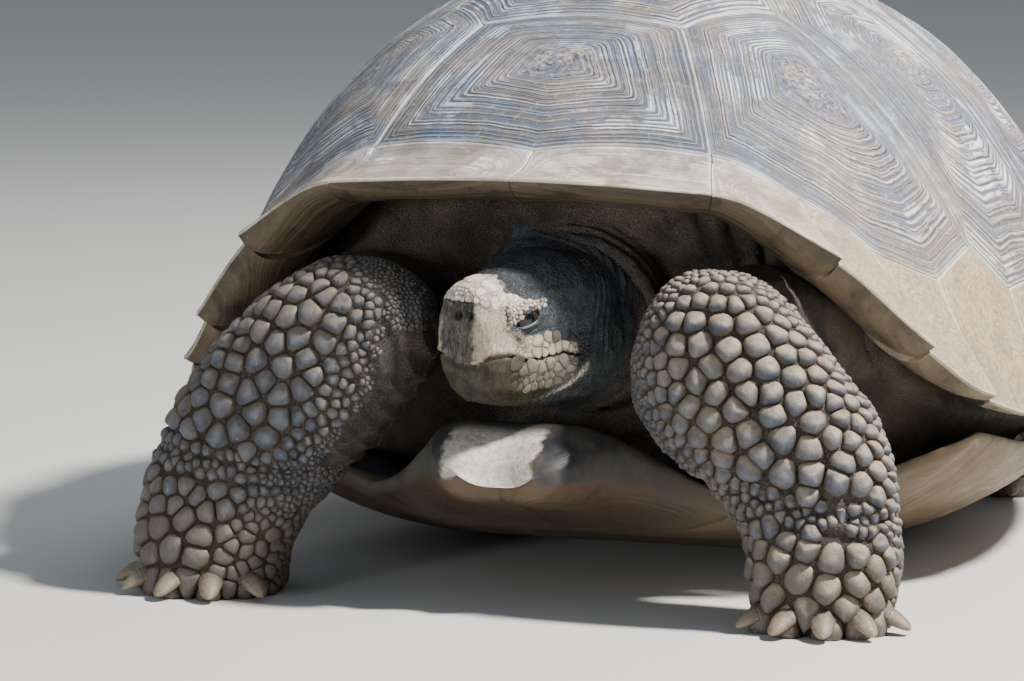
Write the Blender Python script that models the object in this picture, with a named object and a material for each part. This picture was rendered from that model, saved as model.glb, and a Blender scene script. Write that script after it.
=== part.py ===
"""Giant tortoise, life size, crouched with its head half drawn in.

Every scute, limb and eye is a solid of its own.

Metres, +Z up. The animal faces -Y and its left side is +X. The origin is on the flat of the belly plate,
straight under the crown of the shell.
"""

import math

import bmesh
import bpy
from mathutils import Vector

# ---- driving sizes -------------------------------------------------------------------------------
HALF_WIDTH = 0.435          # shell, crown line to side
FRONT_REACH = 0.445         # crown to front rim, before the flare
REAR_REACH = 0.590          # crown to rear rim, before the flare
CROWN_HEIGHT = 0.590
PLAN_ROUNDNESS = 2.4        # exponent of the shell's plan outline: 2 is an ellipse
FRONT_SWEEP, SIDE_SWEEP, REAR_SWEEP = 68.5, 85.0, 78.0   # how far each profile turns down, degrees
FRONT_FLARE, FRONT_LIFT = 0.035, 0.044
REAR_FLARE, REAR_LIFT = 0.030, 0.022
FLARE_STARTS = 0.80         # share of the way from crown to rim
RIM_ANGLES = (0, 22, 36, 47, 56, 70, 90, 120, 150, 180)  # degrees round from the front
RIM_HEIGHTS = (0.355, 0.348, 0.290, 0.212, 0.164, 0.138, 0.135, 0.150, 0.160, 0.140)
TOOTH_OUT, TOOTH_UP = 0.011, 0.007                       # each marginal's rear corner stands out from the rim

PLATE_THICKNESS = 0.012
FRONT_RIM_THICKNESS, RIM_THICKNESS, EDGE_THICKNESS = 0.046, 0.028, 0.006
RIM_ROOTS = ((0, 50, 80, 180), (FRONT_RIM_THICKNESS,) * 2 + (RIM_THICKNESS,) * 2)   # by degrees round
PLATE_DOME, SEAM_SINK = 0.007, 0.0015
SEAM_GAP = 0.0006
PART_GAP = 0.0005           # between two parts of the body
BELLY_GAP = 0.018           # between the belly plate and the body over it

HEAD_CENTRE = Vector((0.012, -0.415, 0.252))
HEAD_YAW, HEAD_PITCH = 23.0, -3.0                        # turned to the animal's right, degrees
EYE_RADIUS = 0.0125
EYE_PLACE = (0.064, 0.0340, 0.022)                       # forward, left and up of the head's centre
CLAW_LENGTH = 0.034
FOOT_CROWN = 0.020          # the rounded top of a foot's column

# Where the seams between marginal plates lie, in degrees round from the front: at their inner end
# and at the rim.
INNER_SEAMS = (0, 23, 33.5, 43, 54, 70, 84, 97, 110, 125, 143, 163, 180)
RIM_SEAMS = (0, 22, 36, 47.5, 57, 71, 84, 97, 110, 125, 143, 163, 180)
INNER_REACH = (0.850, 0.835, 0.850, 0.852, 0.815, 0.805, 0.800, 0.800, 0.805, 0.812, 0.825, 0.815, 0.805)
# Where the seams between large plates reach the marginals: (angle, reach).
COSTAL_FEET = ((63, 0.750), (91, 0.765), (118, 0.775))
VERTEBRAL_FOOT = (154, 0.795)
# Vertebral plates on the mid line: where each starts, and its half width there and at its widest.
VERTEBRAL_STARTS = (-0.464, -0.120, 0.195, 0.490)
VERTEBRAL_HALF = (0.178, 0.185, 0.170, 0.135)
VERTEBRAL_WIDEST = ((0.262, -0.250), (0.268, 0.040), (0.245, 0.340))

# ---- shell surface -------------------------------------------------------------------------------


def smooth_table(x, xs, ys):
    """A smooth curve through (xs, ys), with no overshoot."""
    x = min(max(x, xs[0]), xs[-1])
    i = max(k for k in range(len(xs) - 1) if xs[k] <= x)
    steps = [(ys[k + 1] - ys[k]) / (xs[k + 1] - xs[k]) for k in range(len(xs) - 1)]

    def slope(k):
        if k in (0, len(xs) - 1) or steps[k - 1] * steps[k] <= 0:
            return 0.0
        return 2 * steps[k - 1] * steps[k] / (steps[k - 1] + steps[k])

    h = xs[i + 1] - xs[i]
    t = (x - xs[i]) / h
    return (
        ys[i] * (1 + 2 * t) * (1 - t) ** 2
        + ys[i + 1] * t * t * (3 - 2 * t)
        + h * (slope(i) * t * (1 - t) ** 2 - slope(i + 1) * t * t * (1 - t))
    )


def shell_point(p, q, tooth=0.0):
    """The shell's outer surface over the map point (p, q).

    p is to the left, q to the rear, and the rim is at 1. tooth, 0 to 1, raises the rim outwards at a
    marginal plate's rear corner.
    """
    reach, angle = math.hypot(p, q), math.atan2(p, -q)
    s, c = math.sin(angle), math.cos(angle)
    end = FRONT_REACH if c > 0 else REAR_REACH
    plan = (abs(s / HALF_WIDTH) ** PLAN_ROUNDNESS + abs(c / end) ** PLAN_ROUNDNESS) ** (-1 / PLAN_ROUNDNESS)
    end_sweep = FRONT_SWEEP if c > 0 else REAR_SWEEP
    sweep = math.radians(end_sweep * (1 - s * s) + SIDE_SWEEP * s * s)
    out = math.sin(sweep * reach) / math.sin(sweep)
    up = (math.cos(sweep * reach) - math.cos(sweep)) / (1 - math.cos(sweep))
    degrees = abs(math.degrees(angle))
    rim = smooth_table(degrees, RIM_ANGLES, RIM_HEIGHTS)
    lip = max(0.0, (reach - FLARE_STARTS) / (1 - FLARE_STARTS)) ** 2
    front = max(0.0, math.cos(math.radians(degrees * 0.9)))
    rear = max(0.0, math.sin(math.radians((degrees - 100) * 1.125))) if degrees > 100 else 0.0
    radius = plan * out + lip * (FRONT_FLARE * front + REAR_FLARE * rear + TOOTH_OUT * tooth)
    lift = FRONT_LIFT * front + REAR_LIFT * rear + TOOTH_UP * tooth
    height = rim + (CROWN_HEIGHT - rim) * up + lip * lift
    return Vector((radius * s, -radius * c, height))


def shell_normal(p, q):
    step = 1e-3
    along_p = shell_point(p + step, q) - shell_point(p - step, q)
    along_q = shell_point(p, q + step) - shell_point(p, q - step)
    return along_q.cross(along_p).normalized() * -1


def tooth_size(degrees):
    """How far the teeth stand out, 0 to 1: most at the rim's front corners, least at its sides."""
    return smooth_table(abs(degrees), (0, 22, 36, 60, 80, 180), (0.0, 0.4, 1.0, 0.9, 0.2, 0.2))


def on_map(degrees, reach):
    return Vector((reach * math.sin(math.radians(degrees)), -reach * math.cos(math.radians(degrees))))


# ---- mesh helpers --------------------------------------------------------------------------------


def material(name, colour, roughness):
    made = bpy.data.materials.get(name) or bpy.data.materials.new(name)
    made.use_nodes = True
    surface = made.node_tree.nodes["Principled BSDF"]
    surface.inputs["Base Color"].default_value = (*colour, 1)
    surface.inputs["Roughness"].default_value = roughness
    return made


def add_object(name, points, faces, finish):
    mesh = bpy.data.meshes.new(name)
    mesh.from_pydata([tuple(p) for p in points], [], faces)
    edit = bmesh.new()
    edit.from_mesh(mesh)
    bmesh.ops.remove_doubles(edit, verts=edit.verts, dist=1e-6)
    bmesh.ops.triangulate(edit, faces=edit.faces)
    bmesh.ops.recalc_face_normals(edit, faces=edit.faces)
    if edit.calc_volume(signed=True) < 0:
        bmesh.ops.reverse_faces(edit, faces=edit.faces)
    edit.to_mesh(mesh)
    edit.free()
    mesh.materials.append(finish)
    mesh.shade_smooth()
    made = bpy.data.objects.new(name, mesh)
    bpy.context.scene.collection.objects.link(made)
    return made


def as_cutter(obj):
    obj.hide_render = True
    obj.display_type = "WIRE"
    return obj


def boolean(target, other, operation):
    change = target.modifiers.new(f"{operation}_{other.name}", "BOOLEAN")
    change.operation = operation
    change.object = other
    change.solver = "EXACT"
    as_cutter(other)


def ring_faces(first, second, closed=True):
    count = len(first)
    last = count if closed else count - 1
    return [
        (first[k], first[(k + 1) % count], second[(k + 1) % count], second[k])
        for k in range(last)
    ]


def loft(name, rings, finish):
    """A closed body through rings of points, with its two ends closed by a fan."""
    points, rows = [], []
    for ring in rings:
        rows.append(list(range(len(points), len(points) + len(ring))))
        points += ring
    faces = []
    for a, b in zip(rows, rows[1:]):
        faces += ring_faces(a, b)
    for row in (rows[0], rows[-1]):
        points.append(sum((points[k] for k in row), Vector()) / len(row))
        centre = len(points) - 1
        faces += [(row[k], row[(k + 1) % len(row)], centre) for k in range(len(row))]
    return add_object(name, points, faces, finish)


def limb(name, stations, finish, grow=0.0, sides=16):
    """A tapering limb. Each station is (centre, half width, half depth, width direction)."""
    centres = [Vector(s[0]) for s in stations]
    rings = []
    for k, (centre, half_width, half_depth, across) in enumerate(stations):
        along = (centres[min(k + 1, len(centres) - 1)] - centres[max(k - 1, 0)]).normalized()
        wide = (Vector(across) - along * along.dot(Vector(across))).normalized()
        deep = along.cross(wide)
        rings.append([
            Vector(centre)
            + wide * (half_width + grow) * math.cos(2 * math.pi * t / sides)
            + deep * (half_depth + grow) * math.sin(2 * math.pi * t / sides)
            for t in range(sides)
        ])
    for end, towards in ((0, 1), (-1, -2)):
        centre = sum(rings[end], Vector()) / sides
        out = (centre - sum(rings[towards], Vector()) / sides).normalized() * grow
        rings[end] = [point + out for point in rings[end]]
    return loft(name, rings, finish)


def spread(count, start=0.0, end=1.0):
    return [start + (end - start) * k / (count - 1) for k in range(count)]


# ---- shell plates --------------------------------------------------------------------------------


def sampled(corners, closed=True, spacing=0.105):
    """The outline through these corners, with points every so often along each side."""
    outline = []
    for a, b in zip(corners, corners[1:] + (corners[:1] if closed else [])):
        pieces = max(1, round((b - a).length / spacing))
        outline += [a.lerp(b, k / pieces) for k in range(pieces)]
    return outline if closed else outline + [corners[-1]]


def plate(name, corners, finish):
    """A domed plate: it rises from the seams to the growth centre, and its inner face is an offset."""
    corners = [Vector(c) for c in corners]
    centre = sum(corners, Vector((0, 0))) / len(corners)
    growth_centre = centre * 0.86
    outline = [c + (growth_centre - c).normalized() * (SEAM_GAP / HALF_WIDTH) for c in sampled(corners)]
    points, rows = [], []
    for share in (0.0, 0.12, 0.45, 0.75):
        lift = PLATE_DOME * math.sin(share * math.pi / 2) - SEAM_SINK * max(0.0, 1 - share / 0.12)
        rows.append([])
        for c in outline:
            place = c.lerp(growth_centre, share)
            rows[-1].append(len(points))
            points.append(shell_point(*place) + shell_normal(*place) * lift)
    inner = []
    for share in (0.0, 0.5):
        inner.append([])
        for c in outline:
            place = c.lerp(growth_centre, share)
            inner[-1].append(len(points))
            points.append(shell_point(*place) - shell_normal(*place) * PLATE_THICKNESS)
    faces = []
    for a, b in zip(rows, rows[1:]):
        faces += ring_faces(a, b)
    faces += ring_faces(rows[0], inner[0]) + ring_faces(inner[0], inner[1])
    for row, offset in ((rows[-1], PLATE_DOME), (inner[1], -PLATE_THICKNESS)):
        points.append(shell_point(*growth_centre) + shell_normal(*growth_centre) * offset)
        faces += [(row[k], row[(k + 1) % len(row)], len(points) - 1) for k in range(len(row))]
    return add_object(name, points, faces, finish)


def marginal(name, inner, outer_angles, finish):
    """A rim plate, a wedge from the large plates to the thin rim. inner is its inner edge."""
    edge = sampled([Vector(c) for c in inner], closed=False)
    count = len(edge)
    length = [0.0]
    for a, b in zip(edge, edge[1:]):
        length.append(length[-1] + (b - a).length)
    along = (edge[-1] - edge[0]).normalized()
    gap = SEAM_GAP / HALF_WIDTH
    top, bottom, points = [], [], []
    for down in (0.0, 0.12, 0.5, 0.8, 1.0):
        top.append([])
        bottom.append([])
        for k in range(count):
            share = length[k] / length[-1]
            angle = outer_angles[0] + (outer_angles[1] - outer_angles[0]) * share
            place = edge[k].lerp(on_map(angle, 1.0), down)
            place += along * gap * (1 - 2 * share)
            if down == 0.0:
                place += place.normalized() * gap
            surface = shell_point(*place, tooth_size(angle) * (share ** 1.5 - 0.4))
            normal = shell_normal(*place)
            rounding = 0.3 * EDGE_THICKNESS * max(0.0, down - 0.8) / 0.2
            root = smooth_table(abs(angle), *RIM_ROOTS)
            thick = EDGE_THICKNESS + (root - EDGE_THICKNESS) * (1 - down)
            sink = SEAM_SINK if down == 0.0 or k in (0, count - 1) else 0.0
            top[-1].append(len(points))
            points.append(surface - normal * (sink + rounding))
            bottom[-1].append(len(points))
            points.append(surface - normal * thick)
    faces = []
    for sheet in (top, bottom):
        for a, b in zip(sheet, sheet[1:]):
            faces += ring_faces(a, b, closed=False)
    for a, b in ((top[0], bottom[0]), (top[-1], bottom[-1])):
        faces += ring_faces(a, b, closed=False)
    for k in (0, -1):
        faces += ring_faces([row[k] for row in top], [row[k] for row in bottom], closed=False)
    return add_object(name, points, faces, finish)


def mirrored(corners):
    return [Vector((-c[0], c[1])) for c in corners]


def build_shell(finish):
    inner = [on_map(a, r) for a, r in zip(INNER_SEAMS, INNER_REACH)]
    feet = [on_map(*foot) for foot in COSTAL_FEET]
    rear_foot = on_map(*VERTEBRAL_FOOT)
    joins = [Vector((half, start)) for half, start in zip(VERTEBRAL_HALF, VERTEBRAL_STARTS)]
    widest = [Vector(w) for w in VERTEBRAL_WIDEST]

    def both_sides(half):
        return half + mirrored(half[::-1])

    first = [inner[0], inner[1], joins[0], *mirrored([joins[0]]), *mirrored([inner[1]])]
    plate("vertebral_1", first, finish)
    for k in range(3):
        plate(f"vertebral_{k + 2}", both_sides([joins[k], widest[k], joins[k + 1]]), finish)
    plate("vertebral_5", both_sides([joins[3], rear_foot, inner[11]]), finish)
    costals = (
        [inner[1], inner[2], inner[3], inner[4], feet[0], widest[0], joins[0]],
        [feet[0], inner[5], inner[6], feet[1], widest[1], joins[1], widest[0]],
        [feet[1], inner[7], inner[8], feet[2], widest[2], joins[2], widest[1]],
        [feet[2], inner[9], inner[10], rear_foot, joins[3], widest[2]],
    )
    for k, corners in enumerate(costals):
        plate(f"costal_left_{k + 1}", corners, finish)
        plate(f"costal_right_{k + 1}", mirrored(corners), finish)
    peaks = {4: feet[0], 6: feet[1], 8: feet[2], 10: rear_foot}
    for k in range(11):
        edge = [inner[k]] + ([peaks[k]] if k in peaks else []) + [inner[k + 1]]
        marginal(f"marginal_left_{k + 1}", edge, (RIM_SEAMS[k], RIM_SEAMS[k + 1]), finish)
        marginal(f"marginal_right_{k + 1}", mirrored(edge), (-RIM_SEAMS[k], -RIM_SEAMS[k + 1]), finish)
    tail_edge = [inner[11], mirrored([inner[11]])[0]]
    marginal("supracaudal", tail_edge, (RIM_SEAMS[11], 360 - RIM_SEAMS[11]), finish)


# ---- belly plate ---------------------------------------------------------------------------------
# Stations from the throat to the tail: place, half width, height of the underside, thickness.
BELLY_PLACES = (-0.520, -0.506, -0.480, -0.440, -0.390, -0.330, -0.295, -0.270, -0.240, -0.150,
                0.000, 0.180, 0.215, 0.245, 0.310, 0.390, 0.430)
BELLY_HALF = (0.036, 0.058, 0.074, 0.090, 0.120, 0.170, 0.225, 0.310, 0.380, 0.408,
              0.419, 0.405, 0.330, 0.255, 0.215, 0.150, 0.090)
BELLY_UNDERSIDE = (0.114, 0.104, 0.098, 0.090, 0.076, 0.056, 0.046, 0.040, 0.034, 0.014,
                   0.0, 0.0, 0.0, 0.0, 0.0, 0.004, 0.010)
BELLY_THICKNESS = (0.014, 0.040, 0.062, 0.080, 0.070, 0.048, 0.038, 0.034, 0.032, 0.032,
                   0.032, 0.032, 0.032, 0.032, 0.032, 0.026, 0.018)
BRIDGE_FRONT, BRIDGE_REAR = -0.315, 0.260
BRIDGE_RISE, LOBE_RISE = 0.104, 0.010
BELLY_FLAT, BELLY_CURVE = 0.26, 2.4   # the flat middle's share of the half width; the sides' curve
THROAT_NOTCH, THROAT_NOTCH_WIDTH = 0.014, 0.026


def belly_shape(y):
    """(half width, height of the underside, thickness, rise towards the sides) of the belly plate at y."""
    half = smooth_table(y, BELLY_PLACES, BELLY_HALF)
    low = smooth_table(y, BELLY_PLACES, BELLY_UNDERSIDE)
    thick = smooth_table(y, BELLY_PLACES, BELLY_THICKNESS)
    inside = min(y - BRIDGE_FRONT, BRIDGE_REAR - y) / 0.085
    bridge = min(1.0, max(0.0, inside))
    return half, low, thick, LOBE_RISE + (BRIDGE_RISE - LOBE_RISE) * bridge * bridge * (3 - 2 * bridge)


def pinched(k):
    """How full the belly plate's thickness is at share k of its half width."""
    return (1 - k ** 3) ** 0.5 if k < 1 else 0.0


def belly_section(x, half):
    """0 over the flat middle of the belly plate, rising to 1 at its side."""
    return max(0.0, (abs(x) / half - BELLY_FLAT) / (1 - BELLY_FLAT))


def belly_top(x, y):
    half, low, thick, rise = belly_shape(min(max(y, BELLY_PLACES[0]), BELLY_PLACES[-1]))
    k = min(1.0, belly_section(x, half))
    return low + rise * k ** BELLY_CURVE + thick * (0.45 + 0.55 * pinched(k))


def belly_plate(name, finish):
    across = [-1, -0.92, -0.75, -0.5, -0.25, 0, 0.25, 0.5, 0.75, 0.92, 1]
    rings = []
    for y in BELLY_PLACES:
        half, low, thick, rise = belly_shape(y)
        notch = THROAT_NOTCH * max(0.0, 1 - (y - BELLY_PLACES[0]) / 0.07)
        under, over = [], []
        for k in across:
            x = k * half
            side = belly_section(x, half)
            z = low + rise * side ** BELLY_CURVE
            pinch = pinched(side)
            groove = notch * math.exp(-((x / THROAT_NOTCH_WIDTH) ** 2))
            under.append(Vector((x, y + groove, z + thick * 0.3 * (1 - pinch))))
            over.append(Vector((x, y + groove, z + thick * (0.45 + 0.55 * pinch) - 0.5 * groove)))
        rings.append(under + over[::-1])
    return loft(name, rings, finish)


# ---- trunk ---------------------------------------------------------------------------------------
TRUNK_SIDES = 24
# Rings of the trunk's top under the shell: reach towards the rim, depth under the plates.
TRUNK_ROWS = ((0.12, 0.024), (0.3, 0.024), (0.5, 0.024), (0.62, 0.028), (0.72, 0.052), (0.81, 0.064))
# Down the wall of the trunk, from the plates to the belly: share of the plan at front, side and rear.
WALL_SHARES = ((0.72, 0.900, 0.80), (0.64, 0.870, 0.70), (0.61, 0.820, 0.62))


def trunk(finish):
    points, rows = [], []
    angles = [360 * k / TRUNK_SIDES for k in range(TRUNK_SIDES)]
    for reach, depth in TRUNK_ROWS:
        rows.append([])
        for angle in angles:
            place = on_map(angle, reach)
            rows[-1].append(len(points))
            points.append(shell_point(*place) - shell_normal(*place) * depth)
    for level, (front, side, rear) in enumerate(WALL_SHARES):
        rows.append([])
        for angle in angles:
            s, c = math.sin(math.radians(angle)), math.cos(math.radians(angle))
            rim = shell_point(*on_map(angle, 1.0))
            share = side * s * s + (front if c > 0 else rear) * c * c
            x, y = rim.x * share, rim.y * share
            floor = belly_top(x, y) + BELLY_GAP + 0.012 * c * c
            height = (rim.z * 0.90, rim.z * 0.6 + floor * 0.3, floor)[level]
            rows[-1].append(len(points))
            points.append(Vector((x, y, max(height, floor + 0.008 * (2 - level)))))
    outer = rows[-1]
    for share in (0.7, 0.35):
        rows.append([])
        for k in outer:
            x, y = points[k].x * share, points[k].y * share
            rows[-1].append(len(points))
            points.append(Vector((x, y, belly_top(x, y) + BELLY_GAP)))
    faces = []
    for a, b in zip(rows, rows[1:]):
        faces += ring_faces(a, b)
    points.append(shell_point(0, 0) - Vector((0, 0, 0.024)))
    faces += [(rows[0][k], rows[0][(k + 1) % TRUNK_SIDES], len(points) - 1) for k in range(TRUNK_SIDES)]
    points.append(Vector((0, 0, belly_top(0, 0) + BELLY_GAP)))
    faces += [(rows[-1][k], rows[-1][(k + 1) % TRUNK_SIDES], len(points) - 1) for k in range(TRUNK_SIDES)]
    return add_object("trunk", points, faces, finish)


# ---- limbs ---------------------------------------------------------------------------------------
# The folded forearm seen from the front, from the elbow down to the sole: (outer x, z), (inner x, z).
FOREARM_LEFT = (
    ((0.212, 0.316), (0.165, 0.318)),
    ((0.236, 0.302), (0.136, 0.303)),
    ((0.264, 0.274), (0.117, 0.274)),
    ((0.300, 0.236), (0.106, 0.234)),
    ((0.334, 0.196), (0.111, 0.190)),
    ((0.352, 0.158), (0.140, 0.152)),
    ((0.360, 0.122), (0.186, 0.118)),
    ((0.363, 0.088), (0.214, 0.086)),
    ((0.362, 0.040), (0.226, 0.040)),
    ((0.352, 0.000), (0.234, 0.000)),
)
FOREARM_RIGHT = (
    ((-0.190, 0.316), (-0.135, 0.318)),
    ((-0.226, 0.298), (-0.100, 0.300)),
    ((-0.264, 0.268), (-0.082, 0.276)),
    ((-0.302, 0.226), (-0.077, 0.240)),
    ((-0.334, 0.180), (-0.092, 0.202)),
    ((-0.356, 0.136), (-0.126, 0.152)),
    ((-0.367, 0.098), (-0.170, 0.108)),
    ((-0.371, 0.070), (-0.206, 0.072)),
    ((-0.371, 0.036), (-0.220, 0.036)),
    ((-0.362, 0.000), (-0.228, 0.000)),
)
FOREARM_FRONT = (-0.462, -0.486, -0.502, -0.510, -0.514, -0.514, -0.512, -0.516, -0.524, -0.520)
FOREARM_BACK = (-0.420, -0.398, -0.386, -0.384, -0.386, -0.390, -0.396, -0.394, -0.390, -0.396)
LIMB_SQUARENESS = 2.3


def squarish(angle, power=LIMB_SQUARENESS):
    """Cosine and sine of a superellipse, which is a little squarer than a circle."""
    c, s = math.cos(angle), math.sin(angle)
    return math.copysign(abs(c) ** (2 / power), c), math.copysign(abs(s) ** (2 / power), s)


def forearm(name, side, finish, sides=16):
    """The broad forearm, folded down and out from the elbow, and the foot under it."""
    outline = FOREARM_LEFT if side > 0 else FOREARM_RIGHT
    rings = []
    for ((x1, z1), (x2, z2)), front, back in zip(outline, FOREARM_FRONT, FOREARM_BACK):
        centre = Vector(((x1 + x2) / 2, (front + back) / 2, (z1 + z2) / 2))
        across = Vector((x1 - x2, 0, z1 - z2)) / 2
        depth = Vector((0, back - front, 0)) / 2
        turns = [squarish(2 * math.pi * k / sides) for k in range(sides)]
        rings.append([centre + across * c + depth * s for c, s in turns])
    return loft(name, rings, finish)


def upper_arm(name, side, finish, grow=0.0):
    """From the shoulder, inside the shell, forward to the elbow."""
    shift = 0.0 if side > 0 else -0.018
    return limb(name, [
        ((0.225 * side, -0.170, 0.235), 0.058, 0.054, (side, 0, 0)),
        ((0.216 * side, -0.240, 0.240), 0.076, 0.070, (side, 0, 0)),
        (((0.198 + shift) * side, -0.330, 0.244), 0.080, 0.070, (side, 0, 0)),
        (((0.190 + shift) * side, -0.400, 0.248), 0.074, 0.066, (side, 0, 0)),
        (((0.188 + shift) * side, -0.440, 0.248), 0.056, 0.050, (side, 0, 0)),
    ], finish, grow, sides=12)


def foreleg(side, finish):
    name = f"foreleg_{'left' if side > 0 else 'right'}"
    leg = forearm(name, side, finish)
    boolean(leg, upper_arm(name + "_upper", side, finish), "UNION")
    return leg


def hindleg(side, finish, grow=0.0, name=None):
    """The thigh, tucked forward under the shell, joined to the short column of the shank and foot."""
    name = name or f"hindleg_{'left' if side > 0 else 'right'}"
    leg = limb(name, [
        ((0.200 * side, 0.150, 0.150), 0.055, 0.050, (side, 0, 0)),
        ((0.214 * side, 0.225, 0.157), 0.080, 0.070, (side, 0, 0)),
        ((0.232 * side, 0.300, 0.156), 0.090, 0.078, (side, 0, 0)),
        ((0.246 * side, 0.360, 0.148), 0.084, 0.074, (side, 0, 0)),
        ((0.256 * side, 0.405, 0.138), 0.064, 0.056, (side, 0, 0)),
        ((0.259 * side, 0.420, 0.135), 0.040, 0.036, (side, 0, 0)),
    ], finish, grow)
    boolean(leg, foot_body(name + "_foot", *hindfoot_sizes(side), finish, grow), "UNION")
    return leg


def claw(name, root, heading, finish):
    """One blunt claw: it leaves the toe along its heading and curves down towards the floor."""
    heading = Vector(heading).normalized()
    rings = []
    for t, half in ((0.0, 0.0125), (0.6, 0.0115), (1.0, 0.0045)):
        centre = Vector(root) + heading * (CLAW_LENGTH * (1.25 * t - 0.25)) - Vector((0, 0, 0.010 * t * t))
        side = heading.cross(Vector((0, 0, 1))).normalized()
        rings.append([
            centre + side * half * math.cos(a) + Vector((0, 0, 1)) * half * 0.72 * math.sin(a)
            for a in (math.pi * k / 3 for k in range(6))
        ])
    return loft(name, rings, finish)


def foot_body(name, centre, half, depth, top, turn_deg, finish, grow=0.0, sides=16):
    base = Vector(centre)
    forward = Vector((math.sin(math.radians(turn_deg)), -math.cos(math.radians(turn_deg)), 0))
    rings = []
    for height, swell in (
        (top + grow, -0.035), (top - FOOT_CROWN, -0.008), (top * 0.5, 0.0), (0.026, 0.005), (-grow, -0.005),
    ):
        middle = base + forward * 0.010 * (1 - height / top) + Vector((0, 0, height))
        rings.append([
            middle + Vector(((half + swell + grow) * math.cos(a), (depth + swell + grow) * math.sin(a), 0))
            for a in (2 * math.pi * k / sides for k in range(sides))
        ])
    return loft(name, rings, finish)


def add_claws(leg, foot, claws, spread_deg, finish):
    """Join a row of claws to the front of the leg's foot."""
    centre, half, depth, _, turn_deg = foot
    for k, angle in enumerate(spread(claws, -spread_deg, spread_deg)):
        a = math.radians(angle + turn_deg)
        out = Vector((math.sin(a), -math.cos(a), 0))
        root = Vector(centre) + Vector((out.x * (half - 0.004), out.y * (depth - 0.002), 0.019))
        boolean(leg, claw(f"{leg.name}_claw_{k + 1}", root, out + Vector((0, 0, -0.08)), finish), "UNION")


def hindfoot_sizes(side):
    return (0.262 * side, 0.425, 0), 0.080, 0.076, 0.150, 34 * side


def forefoot_sizes(side):
    """Centre, half width, half depth and turn of the sole."""
    (x1, _), (x2, _) = (FOREARM_LEFT if side > 0 else FOREARM_RIGHT)[-1]
    front, back = FOREARM_FRONT[-1], FOREARM_BACK[-1]
    return ((x1 + x2) / 2, (front + back) / 2, 0), abs(x1 - x2) / 2, (back - front) / 2, 0, 14 * side


def build_limbs(skin):
    for side in (1, -1):
        add_claws(foreleg(side, skin), forefoot_sizes(side), 5, 62, skin)
        add_claws(hindleg(side, skin), hindfoot_sizes(side), 4, 44, skin)


# ---- neck, head, tail ----------------------------------------------------------------------------
# Along the head from its back to the beak: half width, height above the axis, depth below it.
HEAD_PLACES = (-0.078, -0.060, -0.030, 0.000, 0.028, 0.052, 0.076, 0.096, 0.108, 0.115)
HEAD_HALF = (0.036, 0.052, 0.060, 0.061, 0.056, 0.048, 0.041, 0.039, 0.034, 0.026)
HEAD_UP = (0.040, 0.061, 0.075, 0.080, 0.079, 0.073, 0.066, 0.063, 0.059, 0.046)
HEAD_DOWN = (0.040, 0.058, 0.068, 0.069, 0.067, 0.064, 0.060, 0.055, 0.048, 0.032)
HEAD_SQUARENESS = 2.5
# The side view of the lower jaw: it starts at the mouth's corner. (forward, up) from the head's centre.
JAW_OUTLINE = ((0.140, -0.018), (0.100, -0.016), (0.080, -0.009), (0.045, -0.015), (0.012, -0.010),
               (-0.030, -0.095), (0.140, -0.095))
NECK = (
    ((0.000, -0.165, 0.270), 0.070),
    ((0.002, -0.235, 0.268), 0.094),
    ((0.010, -0.300, 0.262), 0.096),
    ((0.022, -0.352, 0.256), 0.088),
    ((0.028, -0.376, 0.253), 0.080),
    ((0.031, -0.386, 0.252), 0.070),
)
TAIL = (
    ((0.000, 0.340, 0.130), 0.040),
    ((0.002, 0.420, 0.112), 0.038),
    ((0.010, 0.490, 0.082), 0.029),
    ((0.026, 0.545, 0.052), 0.020),
    ((0.046, 0.585, 0.030), 0.011),
    ((0.054, 0.597, 0.024), 0.005),
)


def head_axes():
    yaw, pitch = math.radians(HEAD_YAW), math.radians(HEAD_PITCH)
    forward = Vector((-math.sin(yaw) * math.cos(pitch), -math.cos(yaw) * math.cos(pitch), math.sin(pitch)))
    left = Vector((math.cos(yaw), -math.sin(yaw), 0))
    return forward, left, left.cross(forward) * -1


def in_head(forward_by, left_by, up_by):
    forward, left, up = head_axes()
    return HEAD_CENTRE + forward * forward_by + left * left_by + up * up_by


def head_body(name, finish, grow=0.0, sides=18):
    rings = []
    for place in HEAD_PLACES:
        half = smooth_table(place, HEAD_PLACES, HEAD_HALF) + grow
        up = smooth_table(place, HEAD_PLACES, HEAD_UP) + grow
        down = smooth_table(place, HEAD_PLACES, HEAD_DOWN) + grow
        end = grow if place > 0.114 else (-grow if place < -0.077 else 0.0)
        ring = []
        for k in range(sides):
            c, s = squarish(2 * math.pi * k / sides, HEAD_SQUARENESS)
            ring.append(in_head(place + end, half * c, (up if s > 0 else down) * s))
        rings.append(ring)
    return loft(name, rings, finish)


def jaw_block(name, finish, shrink):
    """The block that holds the lower jaw: its side view pushed across the head."""
    middle = Vector((0.05, -0.06))
    outline = [Vector(p) + (middle - Vector(p)).normalized() * shrink for p in JAW_OUTLINE]
    rings = [[in_head(p.x, x, p.y) for p in outline] for x in (-0.12, 0.12)]
    return loft(name, rings, finish)


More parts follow.
